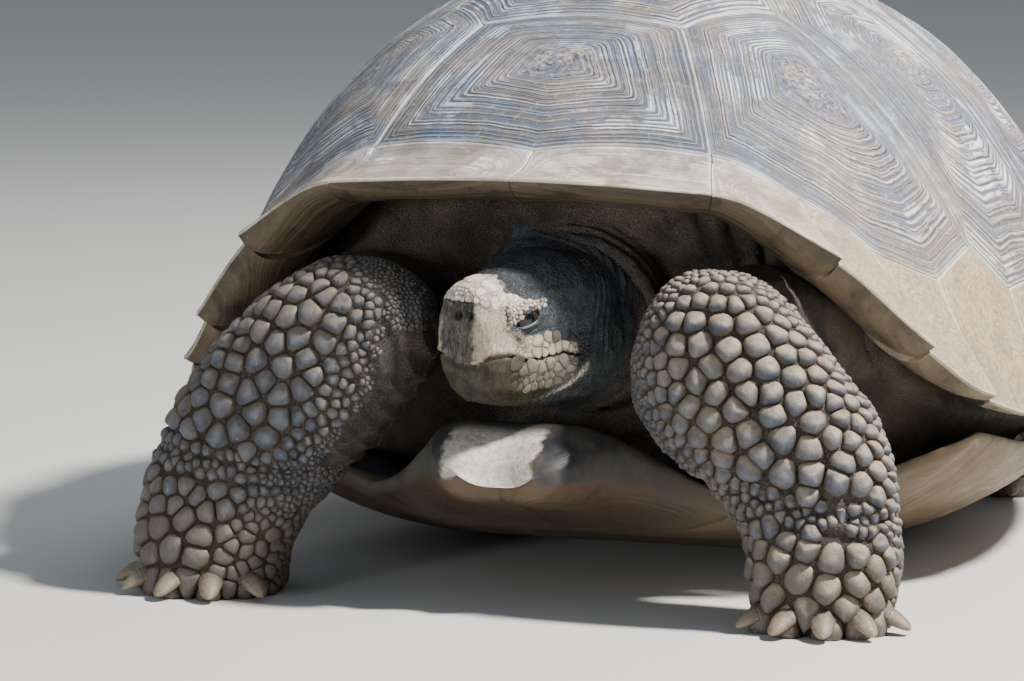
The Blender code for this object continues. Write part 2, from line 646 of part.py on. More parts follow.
def build_head(skin, eye_finish):
    head = head_body("head", skin)
    jaw = head_body("lower_jaw", skin)
    boolean(head, jaw_block("jaw_room", skin, 0.0), "DIFFERENCE")
    boolean(jaw, jaw_block("jaw_core", skin, 2 * PART_GAP), "INTERSECT")
    forward_by, side_by, up_by = EYE_PLACE
    for side, word in ((1, "left"), (-1, "right")):
        centre = in_head(forward_by, side_by * side, up_by)
        for name, radius in ((f"eye_{word}", EYE_RADIUS), (f"eye_socket_{word}", EYE_RADIUS + PART_GAP)):
            mesh = bpy.data.meshes.new(name)
            edit = bmesh.new()
            bmesh.ops.create_uvsphere(edit, u_segments=10, v_segments=7, radius=radius)
            edit.to_mesh(mesh)
            edit.free()
            mesh.materials.append(eye_finish)
            mesh.shade_smooth()
            ball = bpy.data.objects.new(name, mesh)
            bpy.context.scene.collection.objects.link(ball)
            ball.location = centre
        boolean(head, ball, "DIFFERENCE")
    return head


def round_limb(name, stations, finish, grow=0.0):
    return limb(name, [(centre, r, r, (1, 0, 0)) for centre, r in stations], finish, grow)


def clear_scene():
    for old in list(bpy.data.objects):
        bpy.data.objects.remove(old)


def main():
    clear_scene()
    shell = material("shell", (0.36, 0.31, 0.26), 0.6)
    under = material("belly plate", (0.38, 0.33, 0.27), 0.6)
    skin = material("skin", (0.16, 0.14, 0.12), 0.75)
    eye = material("eye", (0.02, 0.02, 0.02), 0.1)

    build_shell(shell)
    belly_plate("plastron", under)
    body = trunk(skin)
    build_limbs(skin)
    build_head(skin, eye)
    neck = round_limb("neck", NECK, skin)
    round_limb("tail", TAIL, skin)

    boolean(neck, head_body("head_room", skin, PART_GAP), "DIFFERENCE")
    boolean(body, round_limb("neck_room", NECK, skin, PART_GAP), "DIFFERENCE")
    boolean(body, round_limb("tail_room", TAIL, skin, PART_GAP), "DIFFERENCE")
    for side, word in ((1, "left"), (-1, "right")):
        boolean(body, upper_arm(f"foreleg_room_{word}", side, skin, PART_GAP), "DIFFERENCE")
        boolean(body, hindleg(side, skin, PART_GAP, f"hindleg_room_{word}"), "DIFFERENCE")


main()
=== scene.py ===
"""Giant tortoise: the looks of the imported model.

Metres, +Z up. The head points to -Y and the animal's left is +X.
"""

import math

import bmesh
import bpy
import numpy as np
from mathutils import Matrix, Vector
from mathutils.bvhtree import BVHTree


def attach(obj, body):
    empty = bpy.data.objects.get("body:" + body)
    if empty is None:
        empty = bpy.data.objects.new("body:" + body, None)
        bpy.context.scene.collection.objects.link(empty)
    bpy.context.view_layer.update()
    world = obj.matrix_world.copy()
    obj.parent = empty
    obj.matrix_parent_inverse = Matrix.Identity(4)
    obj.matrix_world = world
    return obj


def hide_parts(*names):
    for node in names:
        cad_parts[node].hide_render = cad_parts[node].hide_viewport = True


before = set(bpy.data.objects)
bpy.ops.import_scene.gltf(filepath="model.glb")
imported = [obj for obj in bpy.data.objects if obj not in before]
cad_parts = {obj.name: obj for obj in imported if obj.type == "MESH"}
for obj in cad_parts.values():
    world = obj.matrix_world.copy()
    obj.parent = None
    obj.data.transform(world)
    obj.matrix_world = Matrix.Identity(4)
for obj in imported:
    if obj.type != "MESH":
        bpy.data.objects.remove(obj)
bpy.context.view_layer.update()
BODY = "root"

# ---- sizes shared with the solids, in metres ------------------------------------------------------
HALF_WIDTH, FRONT_REACH, REAR_REACH, CROWN_HEIGHT = 0.435, 0.445, 0.590, 0.590
PLAN_ROUNDNESS = 2.4
FRONT_SWEEP, SIDE_SWEEP, REAR_SWEEP = 68.5, 85.0, 78.0
FRONT_FLARE, FRONT_LIFT, REAR_FLARE, REAR_LIFT = 0.035, 0.044, 0.030, 0.022
FLARE_STARTS = 0.80
RIM_ANGLES = (0, 22, 36, 47, 56, 70, 90, 120, 150, 180)
RIM_HEIGHTS = (0.355, 0.348, 0.290, 0.212, 0.164, 0.138, 0.135, 0.150, 0.160, 0.140)
TOOTH_OUT, TOOTH_UP = 0.011, 0.007
PLATE_THICKNESS, EDGE_THICKNESS = 0.012, 0.006
PLATE_DOME, SEAM_SINK, SEAM_GAP = 0.0065, 0.0012, 0.00020
INNER_SEAMS = (0, 23, 33.5, 43, 54, 70, 84, 97, 110, 125, 143, 163, 180)
RIM_SEAMS = (0, 22, 36, 47.5, 57, 71, 84, 97, 110, 125, 143, 163, 180)
INNER_REACH = (
    0.850, 0.835, 0.850, 0.852, 0.815, 0.805, 0.800, 0.800, 0.805, 0.812, 0.825, 0.815, 0.805)
COSTAL_FEET = ((63, 0.750), (91, 0.765), (118, 0.775))
VERTEBRAL_FOOT = (154, 0.795)
VERTEBRAL_STARTS = (-0.464, -0.120, 0.195, 0.490)
VERTEBRAL_HALF = (0.178, 0.185, 0.170, 0.135)
VERTEBRAL_WIDEST = ((0.262, -0.250), (0.268, 0.040), (0.245, 0.340))
HEAD_CENTRE = np.array((0.012, -0.415, 0.252))
HEAD_YAW, HEAD_PITCH = 23.0, -3.0
EYE_RADIUS = 0.0125
EYE_PLACE = (0.064, 0.0340, 0.022)
LID_PLACE = (EYE_PLACE[0], EYE_PLACE[1] + 0.008, EYE_PLACE[2])     # the lids lie further out than the ball
SOLE_HEIGHT = 0.004          # skin below this belongs to the soles


# ---- camera, light, floor -------------------------------------------------------------------------
CAMERA_PLACE = Vector((1.286, -4.376, 0.740))
CAMERA_YAW, CAMERA_PITCH, CAMERA_ROLL = 0.318, -0.1191, 0.005     # radians
CAMERA_LENS, CAMERA_SENSOR = 160.0, 36.0     # millimetres
FLOOR_HALF, SEEN_AS_FAR_AS = 45.0, 150.0
STAGE_AIM = (0, -0.3, 0.25)


def build_camera():
    yaw, pitch, roll = CAMERA_YAW, CAMERA_PITCH, CAMERA_ROLL
    ahead = Vector((-math.sin(yaw) * math.cos(pitch), math.cos(yaw) * math.cos(pitch), math.sin(pitch)))
    right = ahead.cross(Vector((0, 0, 1))).normalized()
    up = right.cross(ahead)
    across = math.cos(roll) * right + math.sin(roll) * up
    above = -math.sin(roll) * right + math.cos(roll) * up
    camera = bpy.data.objects.new("camera", bpy.data.cameras.new("camera"))
    camera.data.lens, camera.data.sensor_width = CAMERA_LENS, CAMERA_SENSOR
    camera.data.sensor_fit = "HORIZONTAL"
    camera.data.clip_end = SEEN_AS_FAR_AS
    turn = Matrix((across, above, -ahead)).transposed()
    camera.matrix_world = Matrix.Translation(CAMERA_PLACE) @ turn.to_4x4()
    bpy.context.scene.collection.objects.link(camera)
    bpy.context.scene.camera = camera


def area_light(name, place, aim, size, power, colour):
    light = bpy.data.lights.new(name, "AREA")
    light.shape, light.size, light.energy, light.color = "DISK", size, power, colour
    lamp = bpy.data.objects.new(name, light)
    lamp.location = place
    lamp.visible_camera = False
    lamp.rotation_euler = (Vector(aim) - Vector(place)).to_track_quat("-Z", "Y").to_euler()
    bpy.context.scene.collection.objects.link(lamp)


def build_light():
    area_light("key_light", (2.58, -0.43, 3.56), STAGE_AIM, 0.45, 530.0, (1.0, 0.97, 0.92))
    area_light("fill_light", (-4.2, -12.9, 1.30), STAGE_AIM, 2.5, 563.0, (0.90, 0.95, 1.0))
    area_light("back_light", (0.4, 3.4, 2.6), (0, 0.1, 0.4), 2.4, 60.0, (0.93, 0.96, 1.0))
    world = bpy.data.worlds.new("studio")
    world.use_nodes = True
    world.node_tree.nodes["Background"].inputs["Color"].default_value = (0.76, 0.85, 0.97, 1)
    world.node_tree.nodes["Background"].inputs["Strength"].default_value = 0.32
    bpy.context.scene.world = world


def build_floor():
    mesh = bpy.data.meshes.new("floor")
    corners = [(x * FLOOR_HALF, y * FLOOR_HALF, 0) for x, y in ((-1, -1), (1, -1), (1, 1), (-1, 1))]
    mesh.from_pydata(corners, [], [(0, 1, 2, 3)])
    floor = bpy.data.objects.new("floor", mesh)
    paint = bpy.data.materials.new("floor_paint")
    paint.use_nodes = True
    shader = paint.node_tree.nodes["Principled BSDF"]
    shader.inputs["Base Color"].default_value = (0.62, 0.61, 0.58, 1)
    shader.inputs["Roughness"].default_value = 0.9
    mesh.materials.append(paint)
    bpy.context.scene.collection.objects.link(floor)


# ---- mesh and number helpers ----------------------------------------------------------------------
def smooth_table(x, xs, ys):
    """A smooth curve through (xs, ys) with no overshoot, for an array of x."""
    xs, ys = np.asarray(xs, float), np.asarray(ys, float)
    x = np.clip(np.asarray(x, float), xs[0], xs[-1])
    steps = np.diff(ys) / np.diff(xs)
    slopes = np.zeros(len(xs))
    inside = steps[:-1] * steps[1:] > 0
    slopes[1:-1][inside] = 2 * (steps[:-1] * steps[1:])[inside] / (steps[:-1] + steps[1:])[inside]
    i = np.clip(np.searchsorted(xs, x, side="right") - 1, 0, len(xs) - 2)
    h = xs[i + 1] - xs[i]
    t = (x - xs[i]) / h
    return (
        ys[i] * (1 + 2 * t) * (1 - t) ** 2
        + ys[i + 1] * t * t * (3 - 2 * t)
        + h * (slopes[i] * t * (1 - t) ** 2 - slopes[i + 1] * t * t * (1 - t))
    )


def smoothstep(low, high, x):
    t = np.clip((np.asarray(x, float) - low) / (high - low), 0, 1)
    return t * t * (3 - 2 * t)


def unit(v):
    return v / np.maximum(np.linalg.norm(v, axis=-1, keepdims=True), 1e-12)


def value_noise(points, scale, seed=0):
    """Smooth noise from -1 to 1 at each point; scale is the size of a lump."""
    p = np.asarray(points, float) / scale + seed * 17.13
    cell = np.floor(p).astype(np.int64)
    t = p - cell
    t = t * t * (3 - 2 * t)
    total = np.zeros(len(p))
    for corner in range(8):
        bits = np.array([(corner >> k) & 1 for k in range(3)])
        c = (cell + bits) & 0xFFFFF
        h = (c[:, 0] * 73856093) ^ (c[:, 1] * 19349663) ^ (c[:, 2] * 83492791) ^ (seed * 2654435761)
        h = (h ^ (h >> 13)) * 1274126177 & 0x7FFFFFFF
        h = (h ^ (h >> 16)) & 0xFFFF
        weight = np.prod(np.where(bits, t, 1 - t), axis=1)
        total += weight * (h / 32767.5 - 1)
    return total


def line_noise(x, scale, seed=0):
    """value_noise along one number."""
    x = np.asarray(x, float)
    aside = np.full(x.size, 3.7 * scale)
    return value_noise(np.stack([x.ravel(), aside, aside], 1), scale, seed).reshape(x.shape)


def put_numbers(mesh, numbers):
    for key, values in numbers.items():
        layer = mesh.attributes.new(key, "FLOAT", "POINT")
        layer.data.foreach_set("value", np.asarray(values, np.float32))


def make_piece(name, points, faces, paint, numbers, maps=None, replaces=()):
    """A mesh piece on the body. faces is a list of index arrays, each (count, 3) or (count, 4)."""
    faces = [np.asarray(f, np.int32) for f in faces if len(f)]
    mesh = bpy.data.meshes.new(name)
    mesh.vertices.add(len(points))
    mesh.vertices.foreach_set("co", np.asarray(points, np.float32).ravel())
    loops = np.concatenate([f.ravel() for f in faces])
    sizes = np.concatenate([np.full(len(f), f.shape[1], np.int32) for f in faces])
    mesh.loops.add(len(loops))
    mesh.loops.foreach_set("vertex_index", loops)
    mesh.polygons.add(len(sizes))
    mesh.polygons.foreach_set("loop_start", np.concatenate([[0], np.cumsum(sizes)[:-1]]).astype(np.int32))
    mesh.update(calc_edges=True)
    mesh.shade_smooth()
    put_numbers(mesh, numbers)
    if maps is not None:
        layer = mesh.uv_layers.new(name="OFBake")
        layer.data.foreach_set("uv", np.asarray(maps, np.float32)[loops].ravel())
    piece = bpy.data.objects.new(name, mesh)
    bpy.context.scene.collection.objects.link(piece)
    mesh.materials.append(paint)
    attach(piece, BODY)
    if replaces:
        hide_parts(*replaces)


def strip(first, second, closed=True):
    """Quads between two rows of point numbers."""
    first, second = np.asarray(first), np.asarray(second)
    if closed:
        first, second = np.append(first, first[0]), np.append(second, second[0])
    return np.stack([first[:-1], first[1:], second[1:], second[:-1]], 1)


def strips(rows):
    """Quads between each row of point numbers and the next, for closed rows."""
    return [strip(a, b) for a, b in zip(rows, rows[1:])]


def fan(row, middle):
    """Triangles between a closed row of point numbers and a point in its middle."""
    return np.stack([row, np.roll(row, -1), np.full(len(row), middle)], 1)


def facing_out(points, faces):
    """The faces of a closed surface, turned over if they face inwards."""
    total = 0.0
    for f in faces:
        a = points[f[:, 0]]
        for k in range(1, f.shape[1] - 1):
            total += np.einsum("ij,ij->i", a, np.cross(points[f[:, k]], points[f[:, k + 1]])).sum()
    return faces if total >= 0 else [f[:, ::-1] for f in faces]


def circle(count):
    """Angles at equal steps round a circle."""
    return 2 * math.pi * np.arange(count) / count


# ---- shell ----------------------------------------------------------------------------------------
def shell_surface(places, tooth=0.0):
    """Points of the shell's outer surface over map places (left, rear), with the rim at 1."""
    p, q = places[:, 0], places[:, 1]
    reach, angle = np.hypot(p, q), np.arctan2(p, -q)
    s, c = np.sin(angle), np.cos(angle)
    end = np.where(c > 0, FRONT_REACH, REAR_REACH)
    plan = np.abs(s / HALF_WIDTH) ** PLAN_ROUNDNESS + np.abs(c / end) ** PLAN_ROUNDNESS
    plan = plan ** (-1 / PLAN_ROUNDNESS)
    end_sweep = np.where(c > 0, FRONT_SWEEP, REAR_SWEEP)
    sweep = np.radians(end_sweep * (1 - s * s) + SIDE_SWEEP * s * s)
    out = np.sin(sweep * reach) / np.sin(sweep)
    up = (np.cos(sweep * reach) - np.cos(sweep)) / (1 - np.cos(sweep))
    degrees = np.abs(np.degrees(angle))
    rim = smooth_table(degrees, RIM_ANGLES, RIM_HEIGHTS)
    lip = np.maximum(0.0, (reach - FLARE_STARTS) / (1 - FLARE_STARTS)) ** 2
    front = np.maximum(0.0, np.cos(np.radians(degrees * 0.9)))
    rear = np.where(degrees > 100, np.maximum(0.0, np.sin(np.radians((degrees - 100) * 1.125))), 0.0)
    radius = plan * out + lip * (FRONT_FLARE * front + REAR_FLARE * rear + TOOTH_OUT * tooth)
    height = rim + (CROWN_HEIGHT - rim) * up
    height = height + lip * (FRONT_LIFT * front + REAR_LIFT * rear + TOOTH_UP * tooth)
    return np.stack([radius * s, -radius * c, height], 1)


def shell_normals(places):
    step = 1e-3
    along_p = shell_surface(places + (step, 0)) - shell_surface(places - (step, 0))
    along_q = shell_surface(places + (0, step)) - shell_surface(places - (0, step))
    return -unit(np.cross(along_q, along_p))


def on_map(degrees, reach):
    a = math.radians(degrees)
    return np.array((math.sin(a) * reach, -math.cos(a) * reach))


def mirrored(corners):
    return [np.array((-c[0], c[1])) for c in corners]


def seam_shapes():
    """The outlines of the large plates and the inner edges of the rim plates, by node name."""
    inner = [on_map(a, r) for a, r in zip(INNER_SEAMS, INNER_REACH)]
    feet = [on_map(*foot) for foot in COSTAL_FEET]
    rear_foot = on_map(*VERTEBRAL_FOOT)
    joins = [np.array((half, start)) for half, start in zip(VERTEBRAL_HALF, VERTEBRAL_STARTS)]
    widest = [np.array(w) for w in VERTEBRAL_WIDEST]
    plates = {"vertebral_1": [inner[0], inner[1], joins[0]] + mirrored([joins[0], inner[1]])}
    for k in range(3):
        half = [joins[k], widest[k], joins[k + 1]]
        plates[f"vertebral_{k + 2}"] = half + mirrored(half[::-1])
    half = [joins[3], rear_foot, inner[11]]
    plates["vertebral_5"] = half + mirrored(half[::-1])
    costals = (
        [inner[1], inner[2], inner[3], inner[4], feet[0], widest[0], joins[0]],
        [feet[0], inner[5], inner[6], feet[1], widest[1], joins[1], widest[0]],
        [feet[1], inner[7], inner[8], feet[2], widest[2], joins[2], widest[1]],
        [feet[2], inner[9], inner[10], rear_foot, joins[3], widest[2]],
    )
    rims = {}
    for k, corners in enumerate(costals):
        plates[f"costal_left_{k + 1}"] = corners
        plates[f"costal_right_{k + 1}"] = mirrored(corners)
    peaks = {4: feet[0], 6: feet[1], 8: feet[2], 10: rear_foot}
    for k in range(11):
        edge = [inner[k]] + ([peaks[k]] if k in peaks else []) + [inner[k + 1]]
        rims[f"marginal_left_{k + 1}"] = (edge, (RIM_SEAMS[k], RIM_SEAMS[k + 1]))
        rims[f"marginal_right_{k + 1}"] = (mirrored(edge), (-RIM_SEAMS[k], -RIM_SEAMS[k + 1]))
    rims["supracaudal"] = ([inner[11]] + mirrored([inner[11]]), (RIM_SEAMS[11], 360 - RIM_SEAMS[11]))
    return plates, rims


def resampled(corners, count, closed=True):
    """count points at equal steps along the outline through the corners."""
    corners = [np.asarray(c, float) for c in corners]
    line = np.array(corners + (corners[:1] if closed else []))
    length = np.concatenate([[0], np.cumsum(np.linalg.norm(np.diff(line, axis=0), axis=1))])
    at = np.linspace(0, length[-1], count + 1 if closed else count)[: count]
    return np.stack([np.interp(at, length, line[:, k]) for k in range(2)], 1)


def rounded(outline, width):
    """The closed outline with its corners rounded by averaging over width points each way."""
    if width < 0.5:
        return outline
    reach = int(3 * width)
    k = np.arange(-reach, reach + 1)
    weight = np.exp(-0.5 * (k / width) ** 2)
    weight /= weight.sum()
    return sum(w * np.roll(outline, int(i), axis=0) for i, w in zip(k, weight))


RING_STEP = 0.0052          # mean spacing of the growth rings
RING_RELIEF = 0.00095


def ring_relief(grown, seed):
    """Height of the growth rings, 0 to 1, at a distance grown in from the plate's edge: worn terraces."""
    drift = 0.7 * line_noise(grown, 0.021, seed) + 0.35 * line_noise(grown, 0.006, seed + 1)
    phase = (grown / RING_STEP + drift) % 1.0
    step = np.where(phase < 0.72, phase / 0.72, (1 - phase) / 0.28)
    strength = 0.62 + 0.38 * line_noise(grown, 0.016, seed + 2)
    return smoothstep(0, 1, step) * strength


# Points round each large plate, and rows from its edge to its growth centre.
AROUND, ALONG = 168, 96


def large_plate(name, corners, paint):
    corners = [np.asarray(c, float) for c in corners]
    growth_centre = np.mean(corners, axis=0) * (0.95 if name == "vertebral_1" else 0.82)
    seed = sum(ord(c) * (k + 3) for k, c in enumerate(name)) % 997
    outline = resampled(corners, AROUND)
    outline += unit(growth_centre - outline) * (SEAM_GAP / HALF_WIDTH)
    softened = {w: rounded(outline, w) for w in (0, 2.5, 6, 12)}
    widths = sorted(softened)
    middle = shell_surface(growth_centre[None])[0]
    spoke = np.linalg.norm(shell_surface(outline) - middle, axis=1)
    spoke = rounded(spoke[:, None], 8)[:, 0]
    across = float(spoke.mean())
    # The first rows lie close together, where the plate's edge turns down into the seam.
    shares = np.concatenate([[0, 0.004, 0.010], np.linspace(0.016, 0.985, ALONG - 3)])
    rows, points, grown, relief, edge = [], [], [], [], []
    count = 0
    for share in shares:
        want = 3.5 * smoothstep(0.03, 0.95, share)
        k = min(np.searchsorted(widths, want, side="right") - 1, len(widths) - 2)
        t = (want - widths[k]) / (widths[k + 1] - widths[k])
        ring = softened[widths[k]] * (1 - t) + softened[widths[k + 1]] * t
        place = ring * (1 - share) + growth_centre * share
        surface, normal = shell_surface(place), shell_normals(place)
        distance = share * spoke
        wobble = 0.0009 * value_noise(surface, 0.035, seed) + 0.0004 * value_noise(surface, 0.009, seed)
        ring_place = share * across + wobble
        step = ring_relief(ring_place, seed)
        fade = smoothstep(0.0, 0.02, share) * (1 - 0.85 * smoothstep(0.64, 0.84, share))
        lumps = 0.0008 * value_noise(surface, 0.06, 5) + 0.0003 * value_noise(surface, 0.014, 6)
        lift = PLATE_DOME * math.sin(share * math.pi / 2) - SEAM_SINK * (1 - smoothstep(0, 0.018, share))
        worn = 0.65 + 0.6 * value_noise(surface, 0.03, seed + 9)
        high = lift + fade * (RING_RELIEF * (step - 0.5) * worn + lumps)
        points.append(surface + normal * high[:, None])
        rows.append(np.arange(count, count + AROUND))
        count += AROUND
        grown.append(ring_place)
        relief.append(step)
        edge.append(distance)
    points.append((middle + shell_normals(growth_centre[None])[0] * PLATE_DOME)[None])
    grown.append([spoke.mean()])
    relief.append([0.5])
    edge.append([spoke.mean()])
    top_centre = count
    count += 1
    under = []
    for share in (0.0, 0.3, 0.7):
        place = outline * (1 - share) + growth_centre * share
        points.append(shell_surface(place) - shell_normals(place) * PLATE_THICKNESS)
        under.append(np.arange(count, count + AROUND))
        count += AROUND
        grown.append(share * spoke)
        relief.append(np.zeros(AROUND))
        edge.append(share * spoke)
    points.append((middle - shell_normals(growth_centre[None])[0] * PLATE_THICKNESS)[None])
    grown.append([0.1])
    relief.append([0])
    edge.append([0.1])
    faces = strips(rows) + [fan(rows[-1], top_centre), strip(under[0], rows[0])]
    faces += [strip(b, a) for a, b in zip(under, under[1:])] + [fan(under[-1], count)[:, [1, 0, 2]]]
    points = np.concatenate(points)
    numbers = {
        "grown": np.concatenate(grown), "relief": np.concatenate(relief), "seam": np.concatenate(edge),
        "under": np.zeros(len(points)), "marginal": np.zeros(len(points)), "spoke_share": np.concatenate(
            [np.repeat(shares, AROUND), [1.0], np.zeros(3 * AROUND), [1.0]]),
    }
    make_piece(name + "_plate", points, facing_out(points, faces), paint, numbers, replaces=(name,))


def tooth_size(degrees):
    return smooth_table(np.abs(degrees), (0, 22, 36, 60, 80, 180), (0.0, 0.12, 0.95, 0.85, 0.2, 0.2))


RIM_ROWS, RIM_UNDER_ROWS = 44, 22
# How thick the rim is where it meets the large plates, and how quickly it thickens from its edge.
LIP_ANGLES = (0, 22, 36, 48, 60, 80, 180)
LIP_ROOTS = (0.046, 0.048, 0.056, 0.058, 0.046, 0.028, 0.028)
LIP_ROUNDNESS = (0.62, 0.55, 0.36, 0.34, 0.42, 0.8, 1.0)


def rim_plate(name, edge, angles, paint):
    """A rim plate: its growth rings follow its inner edge and front seam, and its underside shows."""
    length = sum(np.linalg.norm(np.asarray(b) - a) for a, b in zip(edge, edge[1:]))
    count = int(round(max(44, 44 * length / 0.16)))
    inner = resampled(edge, count, closed=False)
    share = np.linspace(0, 1, count)
    angle = angles[0] + (angles[1] - angles[0]) * share
    outer = np.stack([np.sin(np.radians(angle)), -np.cos(np.radians(angle))], 1)
    along = unit(inner[-1] - inner[0])
    gap = SEAM_GAP / HALF_WIDTH
    seed = sum(ord(c) * (k + 5) for k, c in enumerate(name)) % 991
    tooth = tooth_size(angle) * (share ** 1.5 - 0.4)
    turned = np.abs(np.where(angle > 180, 360 - angle, angle))
    root = smooth_table(turned, LIP_ANGLES, LIP_ROOTS)
    roundness = smooth_table(turned, LIP_ANGLES, LIP_ROUNDNESS)
    width = np.linalg.norm(shell_surface(outer * 0.999) - shell_surface(inner), axis=1)
    span = np.linalg.norm(shell_surface(outer[-1:] * 0.999) - shell_surface(outer[:1] * 0.999))
    from_front, from_rear = share * span, (1 - share) * span
    rows, points = [], []
    numbers = {key: [] for key in ("grown", "relief", "seam", "under", "spoke_share")}
    total = 0

    def add_row(place_points, grown, relief, seam, under, toward_rim):
        nonlocal total
        points.append(place_points)
        rows.append(np.arange(total, total + count))
        total += count
        for key, value in zip(numbers, (grown, relief, seam, under, toward_rim)):
            numbers[key].append(np.broadcast_to(value, (count,)))

    downs = np.concatenate([[0, 0.012, 0.03], np.linspace(0.05, 1.0, RIM_ROWS - 3)])
    sides = np.minimum(from_front, from_rear)
    for down in downs:
        place = inner * (1 - down) + outer * down
        place = place + along * gap * (1 - 2 * share)[:, None] + (unit(place) * gap if down == 0 else 0)
        surface, normal = shell_surface(place, tooth), shell_normals(place)
        from_inner = down * width
        rounding = 0.3 * EDGE_THICKNESS * max(0.0, down - 0.8) / 0.2
        corner = -0.012 * np.log(np.exp(-from_inner / 0.012) + np.exp(-(from_front * 1.15) / 0.012))
        corner = np.maximum(corner, 0)
        wobble = 0.0011 * value_noise(surface, 0.035, seed)
        step = ring_relief(corner + wobble, seed)
        seam = np.minimum(from_inner, sides)
        fade = smoothstep(0.0, 0.004, seam) * (1 - 0.5 * smoothstep(0.92, 1, down))
        lumps = 0.0007 * value_noise(surface, 0.045, 5) + 0.0003 * value_noise(surface, 0.012, 6)
        sink = SEAM_SINK * (1 - smoothstep(0, 0.004, seam)) + rounding
        high = fade * (0.45 * RING_RELIEF * (step - 0.5) + lumps) - sink
        points_now = surface + normal * high[:, None]
        add_row(points_now, corner, step, seam, 0.0, down)
    top_rows = list(rows)
    rows.clear()
    for down in 1 - np.linspace(0, 1, RIM_UNDER_ROWS) ** 1.8:
        place = inner * (1 - down) + outer * down
        place = place + along * gap * (1 - 2 * share)[:, None] + (unit(place) * gap if down == 0 else 0)
        surface, normal = shell_surface(place, tooth), shell_normals(place)
        thick = EDGE_THICKNESS + (root - EDGE_THICKNESS) * (1 - down) ** roundness
        streak = line_noise(down * width + 0.002 * value_noise(surface, 0.04, seed), 0.0035, seed + 3)
        inside = smoothstep(0, 0.003, sides) * (0 if down in (0.0, 1.0) else 1)
        thick = thick - inside * (0.0007 * streak + 0.0010 * value_noise(surface, 0.03, 8))
        points_now = surface - normal * thick[:, None]
        add_row(points_now, down * width, 0.5 + 0.5 * streak, sides, 1.0, down)
    under_rows = list(rows)
    points = np.concatenate(points)
    # The rim's edge is rounded between the two sheets by one row that stands a little out.
    rim_top, rim_under = points[top_rows[-1]], points[under_rows[0]]
    outward = unit(rim_top - points[top_rows[-4]])
    nose = (rim_top + rim_under) / 2 + outward * 0.0012
    nose_row = np.arange(total, total + count)
    points = np.concatenate([points, nose])
    for key, value in zip(numbers, (width, 0.5, sides, 0.5, 1.0)):
        numbers[key].append(np.broadcast_to(value, (count,)))
    order = top_rows + [nose_row] + under_rows
    faces = [strip(a, b, closed=False) for a, b in zip(order, order[1:] + order[:1])]
    for k in (0, -1):
        loop = np.array([row[k] for row in order])
        middle = len(points)
        points = np.concatenate([points, points[loop].mean(axis=0, keepdims=True)])
        for key in numbers:
            numbers[key].append([0.0])
        # Known fault: the caps wind against the sheets, and marginal_left_4 and _right_4 are inside out.
        end = fan(loop, middle)
        faces.append(end if k else end[:, ::-1])
    numbers = {key: np.concatenate([np.asarray(v, float) for v in value]) for key, value in numbers.items()}
    numbers["marginal"] = np.ones(len(points))
    make_piece(name + "_plate", points, facing_out(points, faces), paint, numbers, replaces=(name,))


def build_shell(paint):
    plates, rims = seam_shapes()
    for name, corners in plates.items():
        large_plate(name, corners, paint)
    for name, (edge, angles) in rims.items():
        rim_plate(name, edge, angles, paint)


